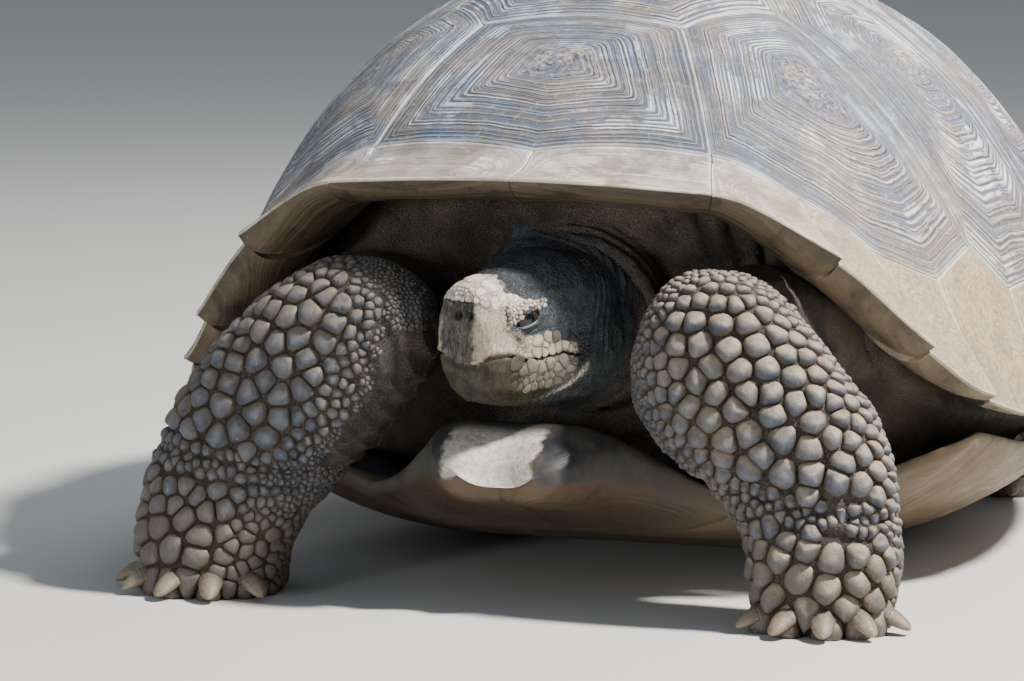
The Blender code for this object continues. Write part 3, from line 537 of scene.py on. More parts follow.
# ---- materials ------------------------------------------------------------------------------------
class Paint:
    """A node material built up step by step. A value is a number, a colour or another node's socket."""

    def __init__(self, name, roughness, specular):
        self.material = bpy.data.materials.new(name)
        self.material.use_nodes = True
        self.tree = self.material.node_tree
        self.shader = self.tree.nodes["Principled BSDF"]
        self.shader.inputs["Specular IOR Level"].default_value = specular
        self.shader.inputs["Roughness"].default_value = roughness
        self.place = self.node("NewGeometry", {}).outputs["Position"]

    def put(self, value, socket):
        if isinstance(value, bpy.types.NodeSocket):
            self.tree.links.new(value, socket)
        elif isinstance(value, tuple) and len(value) < len(socket.default_value):
            socket.default_value = value + (1,)
        else:
            socket.default_value = value

    def node(self, kind, inputs, **settings):
        node = self.tree.nodes.new("ShaderNode" + kind)
        for key, value in settings.items():
            setattr(node, key, value)
        for key, value in inputs.items():
            self.put(value, node.inputs[key])
        return node

    def numbers(self, names):
        """The numbers that the mesh carries under these names."""
        return [self.node("Attribute", {}, attribute_name=name).outputs["Fac"] for name in names.split()]

    def math(self, operation, a, b=0.0, clamp=False):
        return self.node("Math", {0: a, 1: b}, operation=operation, use_clamp=clamp).outputs[0]

    def plus(self, a, b):
        return self.math("ADD", a, b)

    def minus(self, a, b):
        return self.math("SUBTRACT", a, b)

    def times(self, product, *factors):
        for factor in factors:
            product = self.math("MULTIPLY", product, factor)
        return product

    def mean(self, a, b, share=0.5):
        """a and b averaged, with share of a."""
        return self.plus(self.times(a, share), self.times(b, 1 - share))

    def noise(self, scale, detail, rough, stretch=None, line=None):
        """Noise from 0 to 1: scale lumps per metre, axes scaled by stretch, or run along the number line."""
        inputs = {"Scale": scale, "Detail": detail, "Roughness": rough}
        if line is not None:
            return self.node("TexNoise", {**inputs, "W": line}, noise_dimensions="1D").outputs["Fac"]
        where = self.place
        if stretch:
            where = self.node("Mapping", {"Scale": stretch, "Vector": where}).outputs[0]
        return self.node("TexNoise", {**inputs, "Vector": where}).outputs["Fac"]

    def cells(self, scale):
        """Distance to the nearest border between irregular cells."""
        inputs = {"Scale": scale, "Vector": self.place}
        return self.node("TexVoronoi", inputs, feature="DISTANCE_TO_EDGE").outputs["Distance"]

    def ramp(self, value, low, high, start=0.0, end=1.0):
        """value from low to high becomes start to end, with soft ends."""
        inputs = {"From Min": low, "From Max": high, "To Min": start, "To Max": end, "Value": value}
        return self.node("MapRange", inputs, interpolation_type="SMOOTHSTEP").outputs["Result"]

    def mix(self, factor, first, second):
        return self.node("Mix", {0: factor, 6: first, 7: second}, data_type="RGBA").outputs[2]

    def lay(self, colour, over, *shares):
        """colour with over laid on it, as strongly as the product of the shares."""
        return self.mix(self.times(*shares), colour, over)

    def axis(self, name, vector=None):
        return self.node("SeparateXYZ", {0: vector or self.place}).outputs[name]

    def facing_up(self):
        return self.axis("Z", self.node("NewGeometry", {}).outputs["Normal"])

    def finish(self, colour, roughness=None, bumps=()):
        """The material. bumps are (height, distance in metres), each laid over the one before."""
        self.put(colour, self.shader.inputs["Base Color"])
        if roughness is not None:
            self.put(roughness, self.shader.inputs["Roughness"])
        under = {}
        for height, distance in bumps:
            bump = self.node("Bump", {"Strength": 1.0, "Distance": distance, "Height": height, **under})
            under = {"Normal": bump.outputs[0]}
        if under:
            self.put(under["Normal"], self.shader.inputs["Normal"])
        return self.material


DUST, DUST_PALE = (0.330, 0.272, 0.232), (0.80, 0.78, 0.75)
HORN_DARK, HORN_BLUE_SKY_SHEEN, HORN_GREY = (0.018, 0.018, 0.022), (0.125, 0.176, 0.280), (0.190, 0.178, 0.172)
SAND, SAND_PALE, CREAM = (0.345, 0.245, 0.145), (0.520, 0.400, 0.262), (0.66, 0.58, 0.46)
RIM_BROWN, RIM_PALE, RIM_BLUE = (0.250, 0.215, 0.185), (0.56, 0.505, 0.440), (0.165, 0.185, 0.225)
UNDER_DARK_SHADE, UNDER_OLIVE = (0.022, 0.018, 0.012), (0.105, 0.078, 0.044)


def shell_paint():
    p = Paint("shell_horn", 0.62, 0.45)
    names = "grown relief seam under spoke_share marginal"
    grown, relief, seam, under, spoke_share, marginal = p.numbers(names)
    broad, mottle, fine = p.noise(5.0, 4.0, 0.6), p.noise(26.0, 5.0, 0.65), p.noise(160.0, 3.0, 0.6)
    along = p.plus(grown, p.times(p.noise(18.0, 5.0, 0.65), 0.008))
    lines, bands = p.noise(500.0, 4.0, 0.72, line=along), p.noise(120.0, 3.0, 0.65, line=along)
    broken = p.ramp(p.noise(48.0, 4.0, 0.7), 0.38, 0.62)
    # The horn's grey is mixed with blue-grey, which is a painted sheen of sky light.
    colour = p.mix(p.ramp(p.mean(bands, mottle), 0.42, 0.58), HORN_GREY, HORN_BLUE_SKY_SHEEN)
    colour = p.lay(colour, DUST, p.ramp(p.noise(11.0, 4.0, 0.6), 0.46, 0.62, 0.0, 0.65))
    colour = p.lay(colour, HORN_DARK, p.ramp(lines, 0.49, 0.57), p.plus(p.times(broken, 0.40), 0.52))
    colour = p.lay(colour, DUST_PALE, p.ramp(lines, 0.46, 0.36), p.plus(p.times(broken, -0.30), 0.54))
    colour = p.lay(colour, HORN_DARK, p.ramp(relief, 0.30, 0.05), 0.45)
    # The rim plates are smoother and paler, most of all in front.
    rim_tone = p.mix(p.ramp(mottle, 0.38, 0.62), RIM_BROWN, RIM_PALE)
    rim_tone = p.lay(rim_tone, RIM_BLUE, p.ramp(p.noise(17.0, 5.0, 0.7), 0.52, 0.62), 0.6)
    colour = p.lay(colour, rim_tone, marginal, p.ramp(broad, 0.25, 0.55, 0.35, 0.75),
                   p.ramp(p.axis("Y"), 0.05, -0.25, 0.30, 1.0))
    worn = p.ramp(p.mean(mottle, broad, 0.6), 0.48, 0.56)
    colour = p.lay(colour, DUST_PALE, worn, p.ramp(relief, 0.25, 0.8), 0.88)
    # Low down in front the horn is sandy.
    sandy = p.times(p.ramp(p.axis("Z"), 0.44, 0.30), p.ramp(broad, 0.2, 0.5),
                    p.plus(p.times(marginal, 0.8), 0.2),
                    p.plus(p.times(p.ramp(p.axis("Y"), 0.02, -0.20), 0.62), 0.38))
    speckled = p.mix(p.ramp(p.noise(210.0, 5.0, 0.75), 0.40, 0.60), SAND, SAND_PALE)
    speckled = p.lay(speckled, (0.200, 0.152, 0.106), p.ramp(p.noise(34.0, 5.0, 0.7), 0.50, 0.62), 0.45)
    speckled = p.lay(speckled, (0.140, 0.102, 0.066), p.ramp(lines, 0.48, 0.60), 0.42)
    colour = p.lay(colour, speckled, sandy, 0.93)
    # The oldest horn, at the growth centre, is speckled instead of ringed.
    speckle = p.noise(190.0, 5.0, 0.75)
    spotted = p.mix(p.ramp(speckle, 0.42, 0.52), HORN_DARK, p.mix(p.ramp(mottle, 0.4, 0.6), HORN_BLUE_SKY_SHEEN, DUST))
    spotted = p.lay(spotted, DUST_PALE, p.ramp(speckle, 0.54, 0.64, 0.0, 0.55))
    colour = p.lay(colour, spotted, p.ramp(spoke_share, 0.66, 0.84), p.minus(1.0, marginal),
                   p.ramp(mottle, 0.35, 0.6, 0.35, 0.75))
    # Seams are pale beside their dark line.
    colour = p.lay(colour, DUST_PALE, p.ramp(seam, 0.0034, 0.0010), p.ramp(mottle, 0.35, 0.6, 0.25, 0.65))
    colour = p.lay(colour, (0.10, 0.085, 0.070), p.ramp(seam, 0.0008, 0.0002, 0.0, 0.5))
    colour = p.lay(colour, DUST_PALE, p.ramp(fine, 0.55, 0.75), 0.18)
    # The underside of the rim is dark, partly its own colour and partly painted shade, and streaked, with a
    # cream line along its edge.
    streaks = p.noise(60.0, 4.0, 0.7, line=p.plus(grown, p.times(mottle, 0.006)))
    below = p.mix(p.ramp(streaks, 0.35, 0.7), UNDER_DARK_SHADE, UNDER_OLIVE)
    below = p.lay(below, UNDER_DARK_SHADE, p.ramp(p.noise(22.0, 5.0, 0.7), 0.50, 0.60, 0.0, 0.85))
    below = p.lay(below, (0.160, 0.116, 0.068), p.ramp(p.axis("Z"), 0.37, 0.31),
                  p.ramp(mottle, 0.35, 0.6, 0.10, 0.62))
    colour = p.lay(colour, below, p.ramp(under, 0.4, 0.75))
    rim_line = p.times(p.ramp(spoke_share, 0.975, 1.0), p.ramp(under, 0.9, 0.5))
    colour = p.lay(colour, CREAM, rim_line, p.ramp(mottle, 0.3, 0.6, 0.2, 0.9))
    rough = p.ramp(bands, 0.3, 0.7, 0.72, 0.50)
    return p.finish(colour, rough, ((lines, 0.0009), (bands, 0.0010), (fine, 0.0004)))


# ---- skin -----------------------------------------------------------------------------------------
FLESH = ("trunk", "neck", "head", "lower_jaw", "foreleg_left", "foreleg_right", "hindleg_left",
         "hindleg_right", "tail")
SKIN_VOXEL = 0.0050
SMOOTHING_PASSES = 26
SCALE_DEPTH = 0.0012         # how far the skin lies inside the solids of the head


def head_frame():
    """Rows: forward, left and up of the head."""
    yaw, pitch = math.radians(HEAD_YAW), math.radians(HEAD_PITCH)
    ahead = np.array((-math.sin(yaw) * math.cos(pitch), -math.cos(yaw) * math.cos(pitch), math.sin(pitch)))
    left = np.array((math.cos(yaw), -math.sin(yaw), 0))
    return np.stack([ahead, left, np.cross(ahead, left)])


HEAD_FRAME = head_frame()


def to_head(points):
    return (points - HEAD_CENTRE) @ HEAD_FRAME.T


def from_head(local):
    return np.asarray(local, float) @ HEAD_FRAME + HEAD_CENTRE


def mesh_arrays(mesh):
    points = np.zeros(len(mesh.vertices) * 3, np.float32)
    mesh.vertices.foreach_get("co", points)
    normals = np.zeros(len(mesh.vertices) * 3, np.float32)
    mesh.vertices.foreach_get("normal", normals)
    edges = np.zeros(len(mesh.edges) * 2, np.int32)
    mesh.edges.foreach_get("vertices", edges)
    return points.reshape(-1, 3).astype(float), normals.reshape(-1, 3).astype(float), edges.reshape(-1, 2)


def move_to(mesh, points, update=True):
    mesh.vertices.foreach_set("co", points.astype(np.float32).ravel())
    if update:
        mesh.update()


def moved_normals(mesh, points):
    """The mesh's normals once its points are moved to the given places."""
    move_to(mesh, points)
    return mesh_arrays(mesh)[1]


def smoothed(points, edges, passes, weight=None):
    """Each point moves halfway, or by its weight's part of that, to the mean of its neighbours."""
    count = len(points)
    a, b = edges[:, 0], edges[:, 1]
    both, other = np.concatenate([a, b]), np.concatenate([b, a])
    degree = np.maximum(np.bincount(both, minlength=count), 1)
    share = 0.5 if weight is None else 0.5 * weight[:, None]
    columns = range(points.shape[1])
    for _ in range(passes):
        total = np.stack([np.bincount(both, points[other, k], minlength=count) for k in columns], 1)
        points = points + share * (total / degree[:, None] - points)
    return points


def joined_flesh():
    """The flesh solids fused into one closed surface of even quads."""
    mesh = bpy.data.meshes.new("skin")
    edit = bmesh.new()
    for name in FLESH + ("eye_left", "eye_right"):
        edit.from_mesh(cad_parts[name].data)
    edit.to_mesh(mesh)
    edit.free()
    skin = bpy.data.objects.new("skin", mesh)
    bpy.context.scene.collection.objects.link(skin)
    remesh = skin.modifiers.new("fuse", "REMESH")
    remesh.mode, remesh.voxel_size, remesh.adaptivity = "VOXEL", SKIN_VOXEL, 0.0
    fused = bpy.data.meshes.new_from_object(skin.evaluated_get(bpy.context.evaluated_depsgraph_get()))
    skin.modifiers.clear()
    skin.data = fused
    return skin


def keep_largest_shell(mesh):
    edges = mesh_arrays(mesh)[2]
    label = np.arange(len(mesh.vertices))
    while True:
        low = np.minimum(label[edges[:, 0]], label[edges[:, 1]])
        new = label.copy()
        np.minimum.at(new, edges[:, 0], low)
        np.minimum.at(new, edges[:, 1], low)
        new = new[new]
        if np.array_equal(new, label):
            break
        label = new
    names, counts = np.unique(label, return_counts=True)
    keep = label == names[counts.argmax()]
    edit = bmesh.new()
    edit.from_mesh(mesh)
    edit.verts.ensure_lookup_table()
    bmesh.ops.delete(edit, geom=[v for v, k in zip(edit.verts, keep) if not k], context="VERTS")
    edit.to_mesh(mesh)
    edit.free()


def subdivide_where(mesh, chosen, cuts):
    """Finer faces where both ends of an edge are chosen."""
    edit = bmesh.new()
    edit.from_mesh(mesh)
    edit.verts.ensure_lookup_table()
    edges = [e for e in edit.edges if chosen[e.verts[0].index] and chosen[e.verts[1].index]]
    bmesh.ops.subdivide_edges(edit, edges=edges, cuts=cuts, use_grid_fill=True)
    edit.to_mesh(mesh)
    edit.free()
    mesh.update()


# Foot soles: centre, half width, half depth; claws stand out of these outlines.
FOOT_OUTLINES = (
    ((0.293, -0.458), 0.066, 0.066), ((-0.295, -0.458), 0.074, 0.066),
    ((0.262, 0.425), 0.086, 0.082), ((-0.262, 0.425), 0.086, 0.082),
)
CLAW_TOP = 0.045


def without_claws(points):
    """Points of the claws, which are separate pieces, drawn back to the outline of their foot."""
    points = points.copy()
    for (x, y), half, depth in FOOT_OUTLINES:
        dx, dy = points[:, 0] - x, points[:, 1] - y
        reach = np.sqrt((dx / half) ** 2 + (dy / depth) ** 2)
        near = (points[:, 2] < CLAW_TOP) & (reach > 1) & (reach < 1.9)
        points[near, 0] = x + dx[near] / reach[near]
        points[near, 1] = y + dy[near] / reach[near]
    return points


def out_to_head(points, normals, edges):
    """Brings the smoothed skin of the head back out to just inside the head's solids."""
    corners, faces = [], []
    for name in ("head", "lower_jaw"):
        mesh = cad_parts[name].data
        faces += [[len(corners) + k for k in face.vertices] for face in mesh.polygons]
        corners += [v.co.copy() for v in mesh.vertices]
    tree = BVHTree.FromPolygons(corners, faces)
    local = to_head(points)
    share = head_share(points) * smoothstep(-0.045, -0.015, local[:, 0])
    depth = SCALE_DEPTH + 0.0020 * smoothstep(0.02, 0.05, local[:, 2])
    lack = np.zeros(len(points))
    for k in np.nonzero(share > 0.01)[0]:
        nearest_spot = tree.find_nearest(points[k])[0]
        lack[k] = (np.array(nearest_spot) - points[k]) @ normals[k]
    lack = np.clip(lack - depth, -0.004, 0.012) * share
    lack = smoothed(lack[:, None], edges, 18)
    return points + normals * lack


def build_skin(paint):
    skin = joined_flesh()
    keep_largest_shell(skin.data)
    points, _, edges = mesh_arrays(skin.data)
    points = without_claws(points)
    weight = np.where(points[:, 2] < SOLE_HEIGHT, 0.0, 1.0)
    soft = smoothed(points, edges, SMOOTHING_PASSES, weight)
    # The rounded-off form gets back what the smoothing took from its volume.
    points = soft + smoothed(points - soft, edges, SMOOTHING_PASSES // 2, weight)
    move_to(skin.data, points)
    x, y, z = points.T
    folded = (y < -0.24) & (y > -0.50) & (np.abs(x) < 0.30) & (z > 0.15) & (z < 0.40)
    folded &= leg_share(points) < 0.5
    wrist = np.abs(wrist_distance(points)) < 0.035
    subdivide_where(skin.data, folded | wrist, 1)
    local = to_head(mesh_arrays(skin.data)[0])
    on_head = (local[:, 0] > -0.070) & (np.abs(local[:, 1]) < 0.085) & (np.abs(local[:, 2]) < 0.10)
    subdivide_where(skin.data, on_head, 1)
    points, _, edges = mesh_arrays(skin.data)
    local = to_head(points)
    lids = (np.array(LID_PLACE) * (1, side, 1) for side in (1, -1))
    eyes = np.minimum(*(np.linalg.norm(local - lid, axis=1) for lid in lids)) < 0.023
    points = smoothed(points, edges, 6, (local[:, 0] > -0.09).astype(float))
    points = out_to_head(points, moved_normals(skin.data, points), edges)
    move_to(skin.data, points, update=False)
    subdivide_where(skin.data, eyes, 1)
    points = shape_skin(skin)
    put_numbers(skin.data, markings(points))
    skin.data.shade_smooth()
    skin.data.materials.clear()
    skin.data.materials.append(paint)
    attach(skin, BODY)
    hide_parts(*FLESH)
    return skin


# ---- shaping the skin -----------------------------------------------------------------------------
# Places on the head are (forward, left of its middle, up) from its centre, and mirror to both sides.
SNOUT_BEND = 0.055           # the face's middle line leans this much to its left, per metre forward
MOUTH_ALONG = (0.012, 0.034, 0.041, 0.052, 0.067, 0.084, 0.096, 0.115, 0.121, 0.136, 0.148)
MOUTH_UP = (
    -0.0165, -0.0122, -0.0133, -0.0138, -0.0157, -0.0099, -0.0079, -0.0081, -0.0109, -0.0167, -0.0185)
NOSTRIL = (0.1135, 0.0068, 0.0288)
EYE_OPENING = (0.0132, 0.0057)           # half length and half height
OPENING_DROP = 0.0012                    # how far the opening lies below the middle of the ball
LEAST_BALL = 0.0045                      # the lids stand at least this far out from the ball's centre
EYE_OUT, EYE_LONG = np.array((0.34, 0.91, 0.20)), np.array((0.87, -0.36, -0.42))
FOLD_BEFORE_EYE = (
    (0.088, 0.0285, 0.0345), (0.0905, 0.0330, 0.0228), (0.0890, 0.0340, 0.0125), (0.078, 0.0365, 0.0040))
FOLD_UNDER_EYE = ((0.078, 0.0365, 0.0040), (0.062, 0.041, 0.0075), (0.046, 0.047, 0.0120))
JAW_CREASE = (
    (0.062, 0.014, -0.062), (0.0476, 0.0260, -0.0575), (0.035, 0.0385, -0.0491), (0.0185, 0.0500, -0.0376),
    (0.006, 0.055, -0.024))
CHEEK_FOLD = ((0.012, 0.057, -0.016), (0.004, 0.058, -0.026), (0.010, 0.054, -0.037))
EAR = (-0.034, 0.058, -0.008)
EAR_RADIUS = 0.011


def face_places(points):
    """(forward, distance from the face's middle line, up) of points, and how far left of that line."""
    local = to_head(points)
    across = local[:, 1] - SNOUT_BEND * np.maximum(local[:, 0], 0)
    return np.stack([local[:, 0], np.abs(across), local[:, 2]], 1), across


def mouth_height(face):
    """Height of the mouth line at each place."""
    round_front = (0.032 - face[:, 1]) * 0.9 * smoothstep(0.090, 0.105, face[:, 0])
    along = face[:, 0] + np.maximum(round_front, 0)
    return smooth_table(along, MOUTH_ALONG, MOUTH_UP)


def line_distance(points, line):
    """Distance from each point to a line of straight stretches."""
    best = np.full(len(points), 1e9)
    line = np.asarray(line, float)
    for a, b in zip(line, line[1:]):
        t = np.clip(((points - a) @ (b - a)) / ((b - a) @ (b - a)), 0, 1)
        best = np.minimum(best, np.linalg.norm(points - a - t[:, None] * (b - a), axis=1))
    return best


def groove(distance, width):
    return np.exp(-((distance / width) ** 2))


def eye_axes(side):
    """Rows: along the opening, across it, and out of the head, in the world's frame."""
    flip = np.array((1, side, 1))
    out = unit(EYE_OUT * flip)
    along = EYE_LONG * flip
    along = unit(along - out * (along @ out))
    across = np.cross(out, along)
    if across[2] < 0:
        across = -across
    return np.stack([along, across, out])


def eye_centre(side):
    return np.array(EYE_PLACE) * (1, side, 1)


def shape_eye(local, side):
    """Lids and socket round one eye: moves skin points given in the head's frame."""
    axes, centre = eye_axes(side), eye_centre(side)
    q = (local - centre) @ axes.T
    along, across, out = q[:, 0], q[:, 1], q[:, 2]
    near = (out > 0) & (out < 0.024) & (np.hypot(along, across) < 0.030)
    a, b, w = along[near], across[near], out[near]
    bow = b + OPENING_DROP
    reach = np.sqrt((a / EYE_OPENING[0]) ** 2 + (bow / EYE_OPENING[1]) ** 2)
    # Points close to the opening's edge are gathered on it, so that the lid has a crisp edge.
    gathered = np.where((reach > 0.80) & (reach < 1.10), 1.0, reach)
    ratio = gathered / np.maximum(reach, 1e-6)
    a, b = a * ratio, bow * ratio - OPENING_DROP
    flat = np.minimum(a ** 2 + b ** 2, (EYE_RADIUS * 0.98) ** 2)
    ball = np.sqrt(EYE_RADIUS ** 2 - flat)
    lid = np.maximum(ball, LEAST_BALL) + 0.0015 + 0.0010 * smoothstep(1.0, 1.5, reach)
    crease = 0.0016 * groove(reach - 1.95, 0.13) + 0.0009 * groove(reach - 1.5, 0.10)
    outer = smoothstep(1.35, 2.4, reach)
    target = lid * (1 - outer) + w * outer - crease
    brow = smoothstep(0.001, 0.009, b) * smoothstep(3.3, 2.0, reach) * smoothstep(1.1, 1.7, reach)
    target = target + 0.0024 * brow
    target = np.where(reach < 0.80, np.minimum(ball, w) - 0.006, target)
    target = np.where((reach >= 0.80) & (reach < 1.0), lid - 0.0030, target)
    q[near] = np.stack([a, b, target], 1)
    moved = local.copy()
    moved[near] = q[near] @ axes + centre
    return moved


def shape_head(points, normals):
    """Beak, mouth, nostrils, folds and ears, as moves along the skin's normals."""
    face, across = face_places(points)
    f, a, u = face.T
    inside = smoothstep(-0.03, 0.0, f) * smoothstep(0.075, 0.065, a)
    gap = u - mouth_height(face)
    there = smoothstep(0.006, 0.016, f) * smoothstep(-0.068, -0.060, u)
    move = -0.0042 * groove(gap, 0.0015) * there
    move += 0.0012 * groove(gap - 0.0034, 0.0022) * there + 0.0007 * groove(gap + 0.0045, 0.003) * there
    # The lower jaw closes inside the upper beak.
    move -= 0.0012 * smoothstep(0.0, -0.002, gap) * smoothstep(0.055, 0.10, f) * smoothstep(-0.060, -0.030, u)
    # The beak: a flat front with a soft edge down each side, and a hooked tip.
    front = smoothstep(0.100, 0.112, f) * smoothstep(-0.002, 0.002, gap)
    move += 0.0016 * front * groove(a - 0.0105, 0.0040)
    move += 0.0006 * front * groove(a, 0.006) * smoothstep(0.004, -0.012, u)
    for s in (1, -1):
        spot = np.array(NOSTRIL) * (1, s, 1)
        distance = np.hypot(across - spot[1], u - spot[2])
        ahead = f > 0.10
        move -= 0.0085 * groove(distance, 0.0026) * ahead
        move += 0.0008 * groove(distance - 0.0052, 0.0018) * ahead
    move -= 0.0046 * groove(line_distance(face, FOLD_BEFORE_EYE), 0.0017)
    move += 0.0016 * groove(line_distance(face + (0.0038, 0, 0), FOLD_BEFORE_EYE), 0.0020) * (f < 0.087)
    move -= 0.0024 * groove(line_distance(face, FOLD_UNDER_EYE), 0.0015)
    move -= 0.0022 * groove(line_distance(face, JAW_CREASE), 0.0017)
    move += 0.0022 * groove(line_distance(face + (0, 0, 0.0045), JAW_CREASE), 0.0030)
    move -= 0.0018 * groove(line_distance(face, CHEEK_FOLD), 0.0016)
    # The shield over the snout stands a little proud, with a crisp edge.
    move += 0.0004 * snout_shield(face)
    ear = np.linalg.norm(face - np.array(EAR), axis=1)
    move -= 0.0013 * smoothstep(EAR_RADIUS, EAR_RADIUS - 0.0025, ear)
    move += 0.0008 * groove(ear - EAR_RADIUS - 0.001, 0.0016)
    # Fine lines round the back of the jaw and the throat.
    lines = np.sin((f * 0.8 - u * 0.5) * 2 * math.pi / 0.0048 + 2.2 * value_noise(points, 0.02, 4))
    soft = smoothstep(0.0, -0.012, gap) * smoothstep(-0.028, -0.045, u) * smoothstep(0.11, 0.09, f)
    move += 0.00035 * lines * soft
    # Rings of loose skin behind the jaw.
    loose = smoothstep(0.004, -0.020, f) * (0.55 + 0.45 * value_noise(points, 0.03, 24))
    ring_place = f + 0.25 * a + 0.35 * np.maximum(u, 0) + 0.006 * value_noise(points, 0.03, 23)
    move += 0.0013 * loose * wrinkle(ring_place / 0.0085)
    move += 0.0005 * value_noise(points, 0.006, 21) * inside + 0.0009 * value_noise(points, 0.02, 22) * inside
    return points + normals * (move * head_share(points))[:, None]


def head_share(points):
    """1 on the head, 0 on the legs beside it and the body behind."""
    f, a, u = to_head(points).T
    x = points[:, 0]
    clear = smoothstep(-0.0748, -0.0738, x) * smoothstep(0.106, 0.103, x)
    return clear * smoothstep(-0.075, -0.055, f) * (np.abs(a) < 0.08) * (np.abs(u) < 0.085)


def snout_shield(face):
    """1 on the pale shield that covers the top of the snout."""
    f, _, u = face.T
    edge = 0.0040 * value_noise(face, 0.011, 61) + 0.0020 * value_noise(face, 0.004, 62)
    low = 0.0372 + 0.50 * np.maximum(f - 0.100, 0)
    rear = 0.0566 + 1.7 * np.clip(u - 0.036, 0, 0.0117)
    return smoothstep(low - 0.0006, low + 0.0012, u + 0.4 * edge) * smoothstep(rear, rear + 0.002, f + edge)


def brow_share(face):
    """1 on the grains over the brow, above and before the eye."""
    f, a, _ = face.T
    ahead, _, above = (face - np.array(LID_PLACE)).T
    over = (above > 0.005 - 0.40 * ahead) & (above < 0.0165) & (f > 0.046) & (f < 0.090)
    return over & (a > 0.015) & (np.hypot(ahead, above) > 0.0122)


def horny_share(face, gap):
    """1 on the smooth horn of the beak and the front of the lower jaw."""
    f, _, u = face.T
    upper = smoothstep(0.082, 0.090, f) * smoothstep(-0.002, 0.001, gap) * smoothstep(0.034, 0.030, u)
    lower = smoothstep(0.072, 0.086, f) * smoothstep(-0.0005, -0.002, gap) * smoothstep(-0.048, -0.036, u)
    return np.maximum(upper, lower)


def beak_front_shade(face, across):
    """1 where shade is painted on the front of the beak and of the lower jaw, under the shield and round the
    nostrils; it reaches further on the right, away from the key light.
    """
    f, u = face[:, 0], face[:, 2]
    a = np.abs(across + 0.0050) * np.where(across < -0.0050, 0.58, 1.0)
    edge = 0.0050 * value_noise(face * (1, 1, 0.5), 0.006, 63) + 0.0035 * value_noise(face, 0.0025, 65)
    middle = smoothstep(0.0185, 0.0130, a + edge) * smoothstep(0.096, 0.104, f)
    return middle * smoothstep(0.046, 0.037, u + edge) * smoothstep(-0.052, -0.040, u)


NECK_LINE = (np.array((0.002, -0.235, 0.268)), np.array((0.031, -0.386, 0.252)))


def wrinkle(phase, sharp=0.6):
    """Rounded ridges with narrow valleys, -1 to 1."""
    return 1 - 2 * np.abs(np.sin(phase * math.pi)) ** sharp


def shape_body(points, normals):
    """Folds of the neck and of the wall of skin over the head, and a gentle unevenness over the rest of the
    hide.
    """
    local = to_head(points)
    a, b = NECK_LINE
    axis = unit(b - a)
    rel = points - a
    s = rel @ axis
    r = np.linalg.norm(rel - s[:, None] * axis, axis=1)
    behind = smoothstep(-0.040, -0.062, local[:, 0])
    neck = behind * smoothstep(0.150, 0.125, r) * smoothstep(-0.02, 0.02, s)
    warp = 0.010 * value_noise(points, 0.07, 31)
    move = -0.0030 * neck * wrinkle((s + 0.22 * r + warp) / 0.0125)
    move += 0.0008 * neck * value_noise(points, 0.01, 32)
    # The wall of loose skin hangs in upright folds.
    x, y, z = points.T
    wall = smoothstep(-0.405, -0.375, y) * smoothstep(-0.20, -0.26, y) * smoothstep(0.19, 0.23, z) * behind
    front = smoothstep(0.0, -0.35, normals[:, 1]) * smoothstep(0.118, 0.15, r)
    wall *= front * smoothstep(0.36, 0.30, np.abs(x))
    lean = x + 0.25 * (z - 0.3) * np.sign(x) + 0.014 * value_noise(points * (1, 1, 0.4), 0.06, 33)
    move += 0.0065 * wall * -wrinkle(lean / 0.026, 0.7)
    move += 0.0016 * wall * value_noise(points * (1, 1, 0.3), 0.008, 34)
    # Everywhere else the hide is gently uneven.
    rest = 1 - head_share(points)
    move += rest * (0.0012 * value_noise(points, 0.035, 35) + 0.0005 * value_noise(points, 0.011, 36))
    return points + normals * move[:, None]


WRIST_LEFT_LEG = ((0.245, 0.118), (0.375, 0.100))
WRIST_RIGHT_LEG = ((-0.385, 0.142), (-0.180, 0.118))


def wrist_distance(points):
    """Signed height above the wrist's fold of the nearer foreleg, and far away elsewhere."""
    x, y, z = points.T
    fold = np.full(len(points), 9.0)
    for side, ((x1, z1), (x2, z2)) in ((1, WRIST_LEFT_LEG), (-1, WRIST_RIGHT_LEG)):
        here = (x * side > 0.05) & (y < -0.33) & (z < 0.22)
        line = z1 + (z2 - z1) * (x - x1) / (x2 - x1)
        fold[here] = (z - line)[here]
    return fold


def shape_legs(points, normals):
    """Legs draw in by the depth of their scales, and fold at the wrist."""
    x, _, z = points.T
    fold = wrist_distance(points)
    move = -0.0050 * groove(fold, 0.0050) - 0.0028 * groove(fold + 0.017, 0.004)
    move -= 0.0020 * groove(fold - 0.016, 0.004)
    legs = leg_share(points)
    move -= 0.0022 * legs * smoothstep(0.0, 0.02, z)
    # Leathery folds run down the bare inner side of the right foreleg.
    edge = [inner for _, inner in FOREARM_RIGHT[::-1]]
    inner = np.interp(z, [up for _, up in edge], [-left for left, _ in edge])
    bare = smoothstep(0.105, 0.065, -x - inner) * (x < -0.05)
    bare = bare * smoothstep(0.09, 0.13, z) * smoothstep(0.31, 0.27, z)
    lean = x + 0.30 * (z - 0.2) + 0.012 * value_noise(points * (1, 1, 0.5), 0.05, 37)
    fine = 0.0007 * value_noise(points * (1, 1, 0.5), 0.006, 38)
    move += legs * bare * (0.0022 * wrinkle(lean / 0.018, 0.8) + fine)
    return points + normals * (move * smoothstep(0.002, 0.02, z))[:, None]


def leg_share(points):
    """1 on the free part of each leg, 0 on the rest of the body."""
    x, y, z = points.T
    fore = smoothstep(-0.345, -0.385, y) * smoothstep(0.36, 0.34, z)
    beside_head = np.where(x > 0, smoothstep(0.102, 0.106, x), smoothstep(0.0738, 0.0755, -x))
    fore *= beside_head
    hind = smoothstep(0.300, 0.335, y) * smoothstep(0.135, 0.16, np.abs(x)) * smoothstep(0.22, 0.19, z)
    return np.maximum(fore, hind)


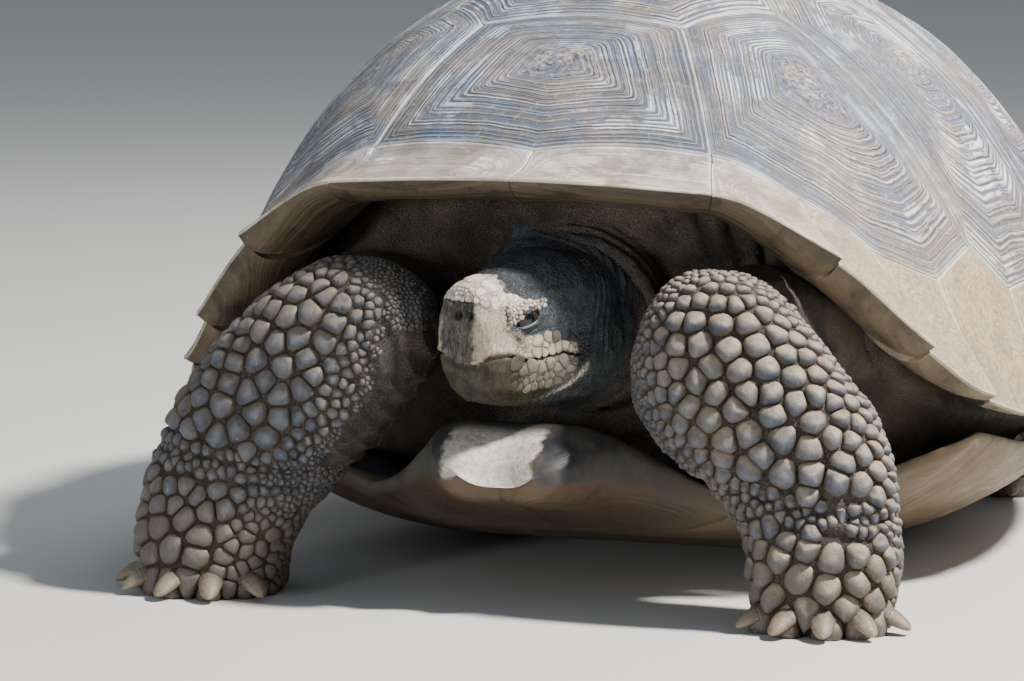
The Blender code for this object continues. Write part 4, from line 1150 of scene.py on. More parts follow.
def shape_skin(skin):
    points, normals, _ = mesh_arrays(skin.data)
    points = shape_legs(points, normals)
    points = shape_body(points, moved_normals(skin.data, points))
    points = shape_head(points, moved_normals(skin.data, points))
    local = to_head(points)
    for side in (1, -1):
        local = shape_eye(local, side)
    points = from_head(local)
    points[:, 2] = np.maximum(points[:, 2], 0.0)
    move_to(skin.data, points)
    return points


def markings(points):
    """Numbers that both skin and scales are coloured by."""
    face, across = face_places(points)
    f, _, u = face.T
    gap = u - mouth_height(face)
    # The pale shield and brow are partly their own colour and partly a painted sun patch where the shell's
    # shadow ends.
    pale = np.maximum(snout_shield(face) * (f > 0.05), 0.9 * brow_share(face))
    before = smoothstep(0.084, 0.092, f - 0.1 * np.maximum(u - 0.02, 0)) * (u < 0.04)
    # The cheek's tan is partly its own colour and partly a painted sun patch.
    cheek = smoothstep(0.014, 0.019, f) * smoothstep(0.006, 0.001, u - 0.25 * (f - 0.05))
    cheek = cheek * smoothstep(-0.046, -0.040, u)
    tan = np.maximum(before * smoothstep(-0.035, -0.02, u), cheek) * (f > 0)
    # The chin and the front of the lower jaw lose their tan and turn dark olive, partly their own colour and
    # partly painted shade.
    ragged = f + 0.006 * value_noise(face, 0.008, 64)
    shaded_jaw_front = smoothstep(0.0, -0.003, gap) * smoothstep(0.064, 0.078, ragged)
    tan = tan * (1 - 0.92 * shaded_jaw_front) * (1 - 0.56 * smoothstep(0.0, -0.003, gap))
    # Painted shade darkens the folds, the mouth line and the nostril pits.
    crease = groove(line_distance(face, FOLD_BEFORE_EYE), 0.0034) * smoothstep(0.033, 0.028, u)
    crease = np.maximum(crease, 0.7 * groove(line_distance(face, FOLD_UNDER_EYE), 0.0018))
    crease = np.maximum(crease, 0.8 * groove(line_distance(face, JAW_CREASE), 0.0016))
    crease = np.maximum(crease, groove(gap, 0.0018) * smoothstep(0.008, 0.016, f) * (np.abs(gap) < 0.01))
    for s in (1, -1):
        pit = np.hypot(across - s * NOSTRIL[1], u - NOSTRIL[2])
        crease = np.maximum(crease, smoothstep(0.0050, 0.0036, pit) * (f > 0.10))
    lit = groove(line_distance(face + (0, 0, 0.0044), JAW_CREASE), 0.0036)
    chin = np.maximum(smoothstep(-0.030, -0.045, u) * smoothstep(0.02, 0.05, f), shaded_jaw_front)
    x, y, z = points.T
    legs = leg_share(points)
    head = head_share(points)
    feet = legs * smoothstep(0.105, 0.06, z)
    beside = np.where(x > 0, smoothstep(0.102, 0.130, x), smoothstep(0.074, 0.105, -x))
    legs = legs * np.where((y < -0.3) & (z > 0.12), beside, 1.0)
    front = beak_front_shade(face, across) * (1 - 0.80 * smoothstep(0.0, -0.003, gap))
    return {"pale": pale * head, "tan": tan * head, "crease": crease * head, "lit": lit * head,
            "chin": chin * head, "legs": legs, "feet": feet, "face": head,
            "horny": horny_share(face, gap) * head, "front": front * head}


# ---- scales ---------------------------------------------------------------------------------------
def triangles(mesh):
    mesh.calc_loop_triangles()
    corners = np.zeros(len(mesh.loop_triangles) * 3, np.int32)
    mesh.loop_triangles.foreach_get("vertices", corners)
    return corners.reshape(-1, 3)


def surface_samples(mesh, wanted, count, seed):
    """Random points on the chosen part of a mesh: positions and normals."""
    corners = triangles(mesh)
    points, normals, _ = mesh_arrays(mesh)
    corners = corners[wanted[corners].any(axis=1)]
    a, b, c = (points[corners[:, k]] for k in range(3))
    area = np.linalg.norm(np.cross(b - a, c - a), axis=1)
    draw = np.random.default_rng(seed)
    chosen = np.searchsorted(np.cumsum(area) / area.sum(), draw.random(count)).clip(0, len(area) - 1)
    u, v = draw.random((2, count, 1))
    flip = (u + v > 1)
    u, v = np.where(flip, 1 - u, u), np.where(flip, 1 - v, v)
    spots = a[chosen] * (1 - u - v) + b[chosen] * u + c[chosen] * v
    na, nb, nc = (normals[corners[chosen, k]] for k in range(3))
    return spots, unit(na * (1 - u - v) + nb * u + nc * v)


def spaced(spots, radius):
    """Numbers of the spots kept so that no two are closer than the sum of their radii allows."""
    kept = np.zeros((len(spots), 3))
    sizes = np.zeros(len(spots))
    order, count = [], 0
    for k in range(len(spots)):
        near = kept[:count] - spots[k]
        if not ((near * near).sum(axis=1) < (0.80 * (sizes[:count] + radius[k])) ** 2).any():
            kept[count], sizes[count] = spots[k], radius[k]
            order.append(k)
            count += 1
    return np.array(order)


def nearest(points, targets):
    """For each point the number of the nearest target."""
    out = np.zeros(len(points), np.int64)
    square = (targets ** 2).sum(axis=1)
    block = 1500
    for k in range(0, len(points), block):
        part = points[k:k + block]
        out[k:k + block] = (square - 2 * part @ targets.T).argmin(axis=1)
    return out


def scale_seeds(spots, normals, radius, passes=3):
    """Well spread seeds of the given radii: picked far apart, then moved to the middle of their patch."""
    picked = spaced(spots, radius)
    for _ in range(passes):
        owner = nearest(spots, spots[picked])
        weight = 1 / radius ** 3
        total = np.bincount(owner, weight, len(picked))
        middle = np.stack([np.bincount(owner, weight * spots[:, k], len(picked)) for k in range(3)], 1)
        middle /= np.maximum(total, 1e-12)[:, None]
        picked = np.unique(nearest(middle, spots))
    return spots[picked], normals[picked], radius[picked]


def tangents(normals, along):
    """Two directions in the surface at each seed; the first follows along as far as it can."""
    first = along - (along * normals).sum(axis=1, keepdims=True) * normals
    short = np.linalg.norm(first, axis=1, keepdims=True) < 0.05
    first = unit(np.where(short, np.array((0.0, 0.3, 1.0)), first))
    first = unit(first - (first * normals).sum(axis=1, keepdims=True) * normals)
    return first, np.cross(normals, first)


NEIGHBOURS, CORNER_SHARPNESS = 18, 7


def cell_outlines(seeds, radius, first, second, sides, gap):
    """How far each scale reaches in each direction: halfway to its neighbours, with rounded corners."""
    theta = circle(sides)
    reach = np.zeros((len(seeds), sides))
    for k in range(0, len(seeds), 800):
        here = slice(k, min(k + 800, len(seeds)))
        apart = np.linalg.norm(seeds[here, None] - seeds[None], axis=2)
        close = np.argsort(apart, axis=1)[:, 1:NEIGHBOURS + 1]
        step = seeds[close] - seeds[here, None]
        x = (step * first[here, None]).sum(axis=2)
        y = (step * second[here, None]).sum(axis=2)
        d = np.maximum(np.hypot(x, y), 1e-5)
        balance = np.clip(0.5 + 0.35 * (radius[here, None] - radius[close]) / d, 0.3, 0.7)
        border = np.maximum(d * balance - gap[here, None] / 2, 0.0004)
        angle = np.arctan2(y, x)
        facing = np.maximum(np.cos(theta[None, :, None] - angle[:, None, :]), 0)
        total = ((facing / border[:, None, :]) ** CORNER_SHARPNESS).sum(axis=2)
        total = total + (1 / (1.75 * radius[here, None])) ** CORNER_SHARPNESS
        reach[here] = total ** (-1 / CORNER_SHARPNESS)
    return reach


# Rings of a scale, from its foot up: share of its outline, and height as a share of its thickness.
TALL_RINGS = ((1.0, -0.30), (1.0, 0.22), (0.95, 0.52), (0.81, 0.80), (0.56, 0.96), (0.27, 1.02))
SMALL_RINGS = ((1.0, -0.3), (1.0, 0.15), (0.80, 0.70), (0.40, 1.0))
HIND_RINGS = ((1.0, -0.3), (1.0, 0.3), (0.88, 0.78), (0.5, 1.0))
TAIL_RINGS = ((1.0, -0.3), (1.0, 0.3), (0.8, 0.85))
HEAD_RINGS = ((1.0, -0.5), (1.0, 0.35), (0.90, 0.80), (0.55, 1.0))
LARGE_FROM, GRAIN_BELOW = 0.0068, 0.003     # radii that part large from small, and plates from grains
FOOT_SHARE = 1.05            # what a scale's foot and underside carry as their share of the outline
MAP_RADIUS = 0.0015          # radius of a scale's own spot on the map


def build_scales(name, seeds, part, tree, along, thick, paint, unwrap, shape, gap=0.06):
    """Raised solid plates over the skin at part of the seeds, bordered by all of them.

    seeds holds places, normals and radii, and thick the height of each plate. shape holds the number of
    sides, how far the tops lean along, their peak, how far the tops tilt, and the rings.
    """
    sides, lean, peak, tilt, rings = shape
    seeds, normals, radius = seeds
    first, second = tangents(normals, along)
    reach = cell_outlines(seeds, radius, first, second, sides, gap * radius)[part]
    seeds, normals, radius, first, second = (a[part] for a in (seeds, normals, radius, first, second))
    draw = np.random.default_rng(len(name))
    count, levels = len(seeds), len(rings)
    each = levels * sides + 2
    thick = thick[part] * draw.uniform(0.80, 1.15, count)
    reach = reach * draw.uniform(0.95, 1.0, (count, 1))
    c, s = np.cos(circle(sides)), np.sin(circle(sides))
    tilt_x, tilt_y = draw.normal(0, 0.10, (2, count, 1))
    # Each scale's foot follows the skin under its outline.
    spokes = c[None, :, None] * first[:, None] + s[None, :, None] * second[:, None]
    base = seeds[:, None] + reach[:, :, None] * spokes
    foot = np.array([tree.find_nearest(spot)[0] for spot in base.reshape(-1, 3)]).reshape(base.shape)
    dip = ((foot - base) * normals[:, None]).sum(axis=2)
    dip = np.clip(dip, -0.6 * reach, 0.6 * reach)
    points, share = np.zeros((count, each, 3)), np.zeros((count, each))
    spread_out = np.zeros((count, each, 2))
    for level, (out, high) in enumerate(rings):
        here = slice(level * sides, (level + 1) * sides)
        x, y = reach * out * c, reach * out * s
        rise = high * (1 + tilt * x / np.maximum(radius[:, None], 1e-6) * (high > 0)
                       + (tilt_x * x + tilt_y * y) / radius[:, None] * (high > 0.5))
        rise = rise + peak * max(0.0, 1 - out) ** 1.3 * (high > 0)
        shift = lean * radius[:, None] * max(high, 0.0) * (1 + peak * (1 - out))
        spot = seeds[:, None] + (x + shift)[:, :, None] * first[:, None] + y[:, :, None] * second[:, None]
        rise = rise * thick[:, None] + dip * out ** 2
        points[:, here] = spot + rise[:, :, None] * normals[:, None]
        share[:, here] = out if high > 0 else FOOT_SHARE
        r = MAP_RADIUS * out * (0.98 if high < 0 else 0.9)
        spread_out[:, here] = np.stack([r * c, r * s], 1)
    top_high = rings[-1][1] + 0.02 + peak
    points[:, -2] = seeds + (lean * radius * top_high)[:, None] * first
    points[:, -2] += (top_high * thick)[:, None] * normals
    points[:, -1] = seeds + (rings[0][1] * thick + dip.mean(axis=1))[:, None] * normals
    points[:, :, 2] = np.maximum(points[:, :, 2], 0.0)
    share[:, -1] = FOOT_SHARE
    rows = np.arange(levels * sides).reshape(levels, sides)
    fans = [fan(rows[-1], each - 2), fan(rows[0], each - 1)[:, [1, 0, 2]]]
    step = (np.arange(count) * each)[:, None, None]
    faces = (np.concatenate(strips(list(rows)))[None] + step).reshape(-1, 4)
    fans = (np.concatenate(fans)[None] + step).reshape(-1, 3)
    numbers = markings(np.repeat(seeds, each, axis=0))
    numbers["share"] = share.reshape(-1)
    numbers["tone"] = np.repeat(draw.random(count), each)
    maps = (unwrap(seeds)[:, None] + spread_out).reshape(-1, 2)
    print("COAT", name, count, "scales", len(faces) * 2 + len(fans), "triangles")
    make_piece(name, points.reshape(-1, 3), [faces, fans], paint, numbers, maps)


def rolled_out(x, y, share, margin):
    """Map places of an unrolled limb, by the angle of (x, y) round its axis and the share of its length."""
    angle = np.arctan2(y, x) / (2 * math.pi) + 0.5
    return np.stack([0.01 + 0.98 * angle, margin + (1 - 2 * margin) * np.clip(share, 0, 1)], 1)


def leg_map(centre, height):
    return lambda p: rolled_out(p[:, 0] - centre[0], p[:, 1] - centre[1], p[:, 2] / height, 0.01)


def tail_map(p):
    return rolled_out(p[:, 0] - 0.02, p[:, 2] - 0.07, (p[:, 1] - 0.45) / 0.16, 0.02)


def head_map(p):
    local = to_head(p)
    return rolled_out(local[:, 1], local[:, 2], (local[:, 0] + 0.09) / 0.21, 0.02)


# The forelegs' outlines seen from the front, from the elbow to the sole: (outer x, z), (inner x, z).
FOREARM_LEFT = (
    ((0.212, 0.316), (0.165, 0.318)),
    ((0.264, 0.274), (0.117, 0.274)),
    ((0.334, 0.196), (0.111, 0.190)),
    ((0.360, 0.122), (0.186, 0.118)),
    ((0.363, 0.088), (0.214, 0.086)),
    ((0.352, 0.000), (0.234, 0.000)),
)
FOREARM_RIGHT = (
    ((-0.190, 0.316), (-0.135, 0.318)),
    ((-0.264, 0.268), (-0.082, 0.276)),
    ((-0.334, 0.180), (-0.092, 0.202)),
    ((-0.367, 0.098), (-0.170, 0.108)),
    ((-0.371, 0.070), (-0.206, 0.072)),
    ((-0.362, 0.000), (-0.228, 0.000)),
)


def foreleg_radius(points, normals, side):
    """Half the size of a foreleg's scales: largest down the middle of its front, small on the edges."""
    x, _, z = points.T
    outline = FOREARM_LEFT if side > 0 else FOREARM_RIGHT
    heights = np.array([(a[1] + b[1]) / 2 for a, b in outline])[::-1]
    outer = np.array([a[0] for a, _ in outline])[::-1] * side
    inner = np.array([b[0] for _, b in outline])[::-1] * side
    xo, xi = np.interp(z, heights, outer), np.interp(z, heights, inner)
    across = np.clip((x * side - xi) / (xo - xi), 0, 1)
    front = smoothstep(0.25, -0.45, normals[:, 1])
    face = smoothstep(0.04, 0.38, across) * (0.62 + 0.38 * smoothstep(1.02, 0.72, across))
    size = 0.0045 + 0.0072 * front * face
    size *= 1 - 0.45 * smoothstep(0.262, 0.315, z)
    fold = wrist_distance(points)
    size = np.where(np.abs(fold + 0.002) < 0.013, np.minimum(size, 0.0050), size)
    foot = smoothstep(0.090, 0.060, z) * front
    size = np.maximum(size, 0.0135 * foot)
    below = (fold < -0.02) & (z > 0.085)
    size = np.where(below, np.minimum(size, 0.0088), size)
    return size, across, front


def foreleg_scales(skin, tree, paint):
    points = mesh_arrays(skin.data)[0]
    legs = leg_share(points)
    for side, word in ((1, "left"), (-1, "right")):
        wanted = (legs > 0.55) & (points[:, 0] * side > 0) & (points[:, 1] < 0) & (points[:, 2] > SOLE_HEIGHT)
        spots, normals = surface_samples(skin.data, wanted, 26000, 11 + side)
        z = spots[:, 2]
        size, across, front = foreleg_radius(spots, normals, side)
        inner = smoothstep(0.30, 0.12, across) if side < 0 else smoothstep(0.16, 0.04, across)
        size = np.where((inner > 0.6) & (z > 0.12) & (front > 0.2), 0.0036, size)
        behind = (spots[:, 1] > -0.412) & (z > 0.20) & (normals[:, 1] > -0.45)
        keep = (leg_share(spots) > 0.5) & (z > 0.006) & ~behind
        if side < 0:
            # The right foreleg's scales are smaller on its inner side, around a bare patch.
            size *= 1 - 0.45 * smoothstep(0.42, 0.30, across)
            patch = smoothstep(0.282, 0.250, z) * smoothstep(0.10, 0.13, z)
            keep &= ~((inner * patch > 0.93) & (front > 0.05))
        seeds, normals, radius = scale_seeds(spots[keep], normals[keep], size[keep])
        # A scale whose fourth neighbour is far off would stand alone on bare skin.
        apart = np.sort(np.linalg.norm(seeds[:, None] - seeds[None], axis=2), axis=1)[:, 4]
        beset = apart < 3.4 * radius
        seeds = (seeds[beset], normals[beset], radius[beset])
        radius = seeds[2]
        thick = np.clip(radius * (0.50 if side < 0 else 0.60), 0.0012, 0.0070)
        unwrap = leg_map((0.29 * side, -0.45), 0.34)
        lean, peak = (0.20, 0.40) if side > 0 else (0.07, 0.10)
        shapes = {"large": (16, lean, peak, 0.20, TALL_RINGS), "small": (9, 0.06, 0.1, 0.1, SMALL_RINGS)}
        for tag, shape in shapes.items():
            part = (radius > LARGE_FROM) == (tag == "large")
            build_scales(f"foreleg_{word}_{tag}_scales", seeds, part, tree, (0.25 * side, -0.10, -1.0), thick,
                         paint, unwrap, shape)


def hindleg_scales(skin, tree, paint):
    points = mesh_arrays(skin.data)[0]
    legs = leg_share(points)
    for side, word in ((1, "left"), (-1, "right")):
        wanted = (legs > 0.5) & (points[:, 0] * side > 0) & (points[:, 1] > 0) & (points[:, 2] > SOLE_HEIGHT)
        spots, normals = surface_samples(skin.data, wanted, 16000, 31 + side)
        z = spots[:, 2]
        outward = smoothstep(-0.2, 0.6, normals[:, 1] + 0.4 * normals[:, 0] * side)
        size = 0.0046 + 0.0040 * outward + 0.0050 * smoothstep(0.060, 0.025, z)
        size -= 0.0012 * smoothstep(0.12, 0.2, z)
        keep = (leg_share(spots) > 0.45) & (z > 0.006)
        seeds = scale_seeds(spots[keep], normals[keep], size[keep])
        build_scales(f"hindleg_{word}_scales", seeds, seeds[2] > 0, tree, (0.0, 0.1, -1.0),
                     np.clip(seeds[2] * 0.42, 0.001, 0.004), paint, leg_map((0.26 * side, 0.40), 0.26),
                     (12, 0.10, 0.2, 0.15, HIND_RINGS))


def tail_scales(skin, tree, paint):
    points = mesh_arrays(skin.data)[0]
    wanted = (points[:, 1] > 0.46) & (np.abs(points[:, 0]) < 0.12) & (points[:, 2] < 0.13)
    spots, normals = surface_samples(skin.data, wanted, 7000, 41)
    size = 0.0028 + 0.0030 * smoothstep(0.46, 0.55, spots[:, 1])
    size = np.where(spots[:, 1] > 0.588, 0.0034, size)
    seeds = scale_seeds(spots, normals, size)
    build_scales("tail_scales", seeds, seeds[2] > 0, tree, (0.1, 0.9, -0.45), seeds[2] * 0.40, paint,
                 tail_map, (10, 0.15, 0.1, 0.15, TAIL_RINGS))


def head_patches(face):
    """Half the size of the head's scales at each place; 0 where the skin is bare."""
    f, a, u = face.T
    gap = u - mouth_height(face)
    size = np.zeros(len(face))
    brow = brow_share(face)
    size = np.where(brow, 0.0020, size)
    # Large flat scales over the shield of the snout.
    shield = snout_shield(face) > 0.6
    size = np.where(shield & ~(brow & (a > 0.024)), 0.0085 - 0.0045 * smoothstep(0.017, 0.028, a), size)
    size = np.where(shield & (f > 0.105 + 0.0035 * value_noise(face, 0.008, 66)), 0.0019, size)
    # Scales of the cheek, over the corner of the mouth.
    cheek = (f > 0.016) & (f < 0.060) & (gap > 0.0030) & (u < 0.0055 - 0.02 * (0.06 - f)) & (a > 0.03)
    size = np.where(cheek, 0.0044, size)
    corner = (f > 0.004) & (f < 0.022) & (u < 0.002) & (u > -0.036) & (a > 0.03)
    size = np.where(corner, 0.0019, size)
    # Large plates along the lower jaw.
    jaw = (f > 0.020) & (f < 0.083) & (gap < -0.0028) & (gap > -0.017) & (a > 0.022)
    size = np.where(jaw, 0.0058, size)
    lower = (f > 0.030) & (f < 0.080) & (gap <= -0.017) & (gap > -0.027) & (a > 0.018)
    size = np.where(lower, 0.0036, size)
    # Low plates on top of the head, and fine grains on the back of the jaw.
    crown = (f > -0.035) & (f <= 0.080) & (u > 0.046) & ~shield
    size = np.where(crown & (size == 0), 0.0024, size)
    return size


def head_scales(skin, tree, paint):
    points = mesh_arrays(skin.data)[0]
    wanted = (head_share(points) > 0.9) & (to_head(points)[:, 0] > -0.045)
    spots, normals = surface_samples(skin.data, wanted, 60000, 51)
    size = head_patches(face_places(spots)[0])
    keep = (size > 0) & (head_share(spots) > 0.9)
    seeds = scale_seeds(spots[keep], normals[keep], size[keep], 2)
    places, _, radius = seeds
    face = face_places(places)[0]
    shield = snout_shield(face) > 0.6
    crown = (face[:, 2] > 0.046) & ~shield
    grain = radius < GRAIN_BELOW
    thick = np.where(grain, radius * 0.60, radius * 0.20)
    thick = np.where(crown, radius * 0.14, thick)
    thick = np.where(shield & (radius > GRAIN_BELOW), radius * 0.09, thick)
    over_front = face[:, 2] - 0.0372 - 0.50 * np.maximum(face[:, 0] - 0.100, 0)
    thick = np.where(shield, thick * (0.3 + 0.7 * smoothstep(0.001, 0.009, over_front)), thick)
    rest = ~crown & ~shield
    groups = (("crown", crown, 12, 0.10), ("shield", shield, 12, 0.05), ("grains", rest & grain, 8, 0.10),
              ("plates", rest & ~grain, 14, 0.10))
    for word, part, sides, gap in groups:
        shape = (sides, 0.03, 0.12 if word == "grains" else 0.0, 0.0, HEAD_RINGS)
        build_scales(f"head_{word}_scales", seeds, part, tree, -HEAD_FRAME[0] + (0, 0, -0.2), thick, paint,
                     head_map, shape, gap)


# ---- eyes -----------------------------------------------------------------------------------------
def eye_paint():
    p = Paint("eye_glossy", 0.10, 0.35)
    polar, = p.numbers("polar")
    streak = p.noise(900.0, 2.0, 0.6)
    iris = p.mix(streak, (0.014, 0.011, 0.009), (0.040, 0.032, 0.022))
    colour = p.mix(p.ramp(polar, 0.30, 0.34), (0.003, 0.003, 0.003), iris)
    colour = p.mix(p.ramp(polar, 0.62, 0.74), colour, (0.012, 0.010, 0.009))
    p.shader.inputs["Coat Weight"].default_value = 0.25
    p.shader.inputs["Coat Roughness"].default_value = 0.03
    return p.finish(colour)


def lid_rim_paint():
    p = Paint("lid_rim_wet", 0.32, 0.5)
    grain = p.noise(700.0, 3.0, 0.6)
    dark = p.mix(grain, (0.012, 0.011, 0.012), (0.040, 0.036, 0.036))
    # The pale blue of the lower rim is a painted reflection of the sky on the wet lid.
    pale = p.mix(grain, (0.13, 0.155, 0.19), (0.26, 0.29, 0.33))
    pale_rim, = p.numbers("pale_rim")
    return p.finish(p.mix(pale_rim, dark, pale), None, ((grain, 0.0002),))


def build_eyes(eye_finish, rim_finish):
    rings, around = 30, 48
    for side, word in ((1, "left"), (-1, "right")):
        axes, centre = eye_axes(side), eye_centre(side)
        theta = circle(around)
        points, rows, polar = [], [], []
        for k in range(1, rings):
            a = math.pi * k / rings
            radius = EYE_RADIUS + 0.0006 * float(groove(np.array(a), 0.45))
            q = np.stack([radius * math.sin(a) * np.cos(theta), radius * math.sin(a) * np.sin(theta),
                          np.full(around, radius * math.cos(a))], 1)
            rows.append(len(points) * around + np.arange(around))
            points.append(q)
            polar.append(np.full(around, a))
        poles = np.array(((0, 0, EYE_RADIUS + 0.0006), (0, 0, -EYE_RADIUS)))
        points = np.concatenate(points + [poles])
        first, last = len(points) - 2, len(points) - 1
        faces = strips(rows) + [fan(rows[0], first)[:, [1, 0, 2]], fan(rows[-1], last)]
        world = from_head(points @ axes + centre)
        polar = {"polar": np.concatenate(polar + [[0, math.pi]])}
        make_piece(f"eye_{word}_ball", world, facing_out(world, faces), eye_finish, polar,
                   replaces=(f"eye_{word}",))
        build_lid_rim(word, axes, centre, rim_finish)


def build_lid_rim(word, axes, centre, finish):
    """The wet edge of the lids, a soft tube that follows the opening over the ball."""
    around, sides = 72, 10
    t = circle(around)
    a, b = EYE_OPENING[0] * 0.99 * np.cos(t), EYE_OPENING[1] * 0.97 * np.sin(t) - OPENING_DROP
    flat = np.minimum(a ** 2 + b ** 2, (EYE_RADIUS * 0.97) ** 2)
    w = np.maximum(np.sqrt(EYE_RADIUS ** 2 - flat), LEAST_BALL) + 0.0004
    line = np.stack([a, b, w], 1)
    ahead = unit(np.roll(line, -1, axis=0) - np.roll(line, 1, axis=0))
    out = unit(line)
    aside = np.cross(ahead, out)
    lower = smoothstep(0.2, -0.5, np.sin(t)) * smoothstep(-0.6, 0.2, np.cos(t))
    thick = 0.0009 + 0.0004 * lower
    turn = circle(sides)
    points = (line[:, None] + thick[:, None, None] * (np.cos(turn)[None, :, None] * aside[:, None]
              + 0.75 * np.sin(turn)[None, :, None] * out[:, None])).reshape(-1, 3)
    rows = [k * sides + np.arange(sides) for k in range(around)]
    faces = [strip(a, b) for a, b in zip(rows, rows[1:] + rows[:1])]
    world = from_head(points @ axes + centre)
    make_piece(f"eye_{word}_lid_rim", world, facing_out(world, faces), finish,
               {"pale_rim": np.repeat(lower, sides)})


# ---- claws ----------------------------------------------------------------------------------------
CLAW_LENGTH = 0.034
# Centre of the sole, half width, half depth, turn in degrees, number of claws and how far they spread.
CLAW_ROWS = {
    "foreleg_left": ((0.293, -0.458), 0.059, 0.062, 14, 5, 62),
    "foreleg_right": ((-0.295, -0.458), 0.067, 0.062, -14, 5, 62),
    "hindleg_left": ((0.262, 0.425), 0.080, 0.076, 34, 4, 44),
    "hindleg_right": ((-0.262, 0.425), 0.080, 0.076, -34, 4, 44),
}


def claw_paint():
    p = Paint("claw_horn", 0.42, 0.5)
    along, = p.numbers("along")
    grain = p.noise(260.0, 4.0, 0.6, stretch=(1, 1, 3))
    rings = p.noise(26.0, 2.0, 0.6, line=along)
    colour = p.mix(p.ramp(along, 0.15, 0.9), (0.045, 0.036, 0.030), (0.20, 0.16, 0.115))
    colour = p.lay(colour, (0.30, 0.25, 0.18), p.ramp(grain, 0.45, 0.7), 0.6)
    return p.finish(colour, p.ramp(grain, 0.3, 0.7, 0.38, 0.6), ((grain, 0.0005), (rings, 0.0006)))


def build_claws(finish):
    rows_count, sides = 22, 20
    theta = circle(sides)
    for leg, ((x, y), half, depth, turn, claws, spread) in CLAW_ROWS.items():
        for k in range(claws):
            a = math.radians(-spread + 2 * spread * k / (claws - 1) + turn)
            out = np.array((math.sin(a), -math.cos(a), 0))
            root = np.array((x + out[0] * (half - 0.004), y + out[1] * (depth - 0.002), 0.019))
            heading = unit(out + (0, 0, -0.08))
            aside = unit(np.cross(heading, (0, 0, 1)))
            above = np.cross(aside, heading)
            points, along = [], []
            for t in np.linspace(0, 1, rows_count):
                middle = root + heading * CLAW_LENGTH * (1.25 * t - 0.28) - np.array((0, 0, 0.010 * t * t))
                wide = 0.0122 * (1 - 0.18 * t) * math.sqrt(max(0.0, 1 - t ** 3.4)) + 0.0006
                ridge = 0.72 + 0.10 * np.maximum(np.sin(theta), 0) ** 6
                rough = 1 + 0.02 * np.sin(9 * theta + k)
                high = ridge * np.sin(theta) * np.where(np.sin(theta) < 0, 0.8, 1)
                ring = np.cos(theta)[:, None] * aside + high[:, None] * above
                points.append(middle + wide * rough[:, None] * ring)
                along.append(np.full(sides, t))
            points = np.concatenate(points)
            rows = [r * sides + np.arange(sides) for r in range(rows_count)]
            ends = [points[rows[0]].mean(axis=0), points[rows[-1]].mean(axis=0) + heading * 0.0004]
            points = np.concatenate([points, ends])
            root_cap, tip_cap = fan(rows[0], len(points) - 2)[:, [1, 0, 2]], fan(rows[-1], len(points) - 1)
            faces = facing_out(points, strips(rows) + [root_cap, tip_cap])
            points[:, 2] = np.maximum(points[:, 2], 0.0)
            make_piece(f"{leg}_claw_{k + 1}", points, faces, finish,
                       {"along": np.concatenate(along + [[0, 1]])})


# ---- belly plate ----------------------------------------------------------------------------------
# The belly plate's outline and section at places along Y.
BELLY_PLACES = (-0.520, -0.506, -0.480, -0.440, -0.390, -0.330, -0.295, -0.270, -0.240, -0.150, 0.000, 0.180,
                0.215, 0.245, 0.310, 0.390, 0.430)
BELLY_HALF = (0.036, 0.058, 0.074, 0.090, 0.120, 0.170, 0.225, 0.310, 0.380, 0.408, 0.419, 0.405,
              0.330, 0.255, 0.215, 0.150, 0.090)
BELLY_UNDERSIDE = (0.114, 0.104, 0.098, 0.090, 0.076, 0.056, 0.046, 0.040, 0.034, 0.014, 0.0, 0.0,
                   0.0, 0.0, 0.0, 0.004, 0.010)
BELLY_THICKNESS = (0.014, 0.040, 0.062, 0.080, 0.070, 0.048, 0.038, 0.034, 0.032, 0.032, 0.032, 0.032,
                   0.032, 0.032, 0.032, 0.026, 0.018)
BRIDGE_FRONT, BRIDGE_REAR, BRIDGE_RISE, LOBE_RISE = -0.315, 0.260, 0.104, 0.010
BELLY_FLAT, BELLY_CURVE = 0.26, 2.4
THROAT_NOTCH, THROAT_NOTCH_WIDTH = 0.014, 0.026
BELLY_SEAMS = (-0.452, -0.318, -0.205, 0.125, 0.275)     # the seams that cross the belly plate
BELLY_ROWS, BELLY_ACROSS = 300, 150


def belly_rings(x, y, half):
    """Distance in from the nearest seams with corners rounded, and to the nearest crossing or middle seam."""
    bounds = np.array((BELLY_PLACES[0] - 0.012,) + BELLY_SEAMS + (BELLY_PLACES[-1] + 0.03,))
    bend = 0.018 * np.abs(x) / half - 0.008
    at = y + bend * (y > -0.45)
    k = np.clip(np.searchsorted(bounds, at) - 1, 0, len(bounds) - 2)
    lengthways = np.minimum(at - bounds[k], bounds[k + 1] - at)
    across = np.abs(x)
    side = np.maximum(half - across, 0) + 0.006
    stack = np.stack([np.maximum(lengthways, 0), across, side])
    soft = -0.010 * np.log(np.exp(-stack / 0.010).sum(axis=0))
    return np.maximum(soft, 0), np.minimum(np.maximum(lengthways, 0), across)


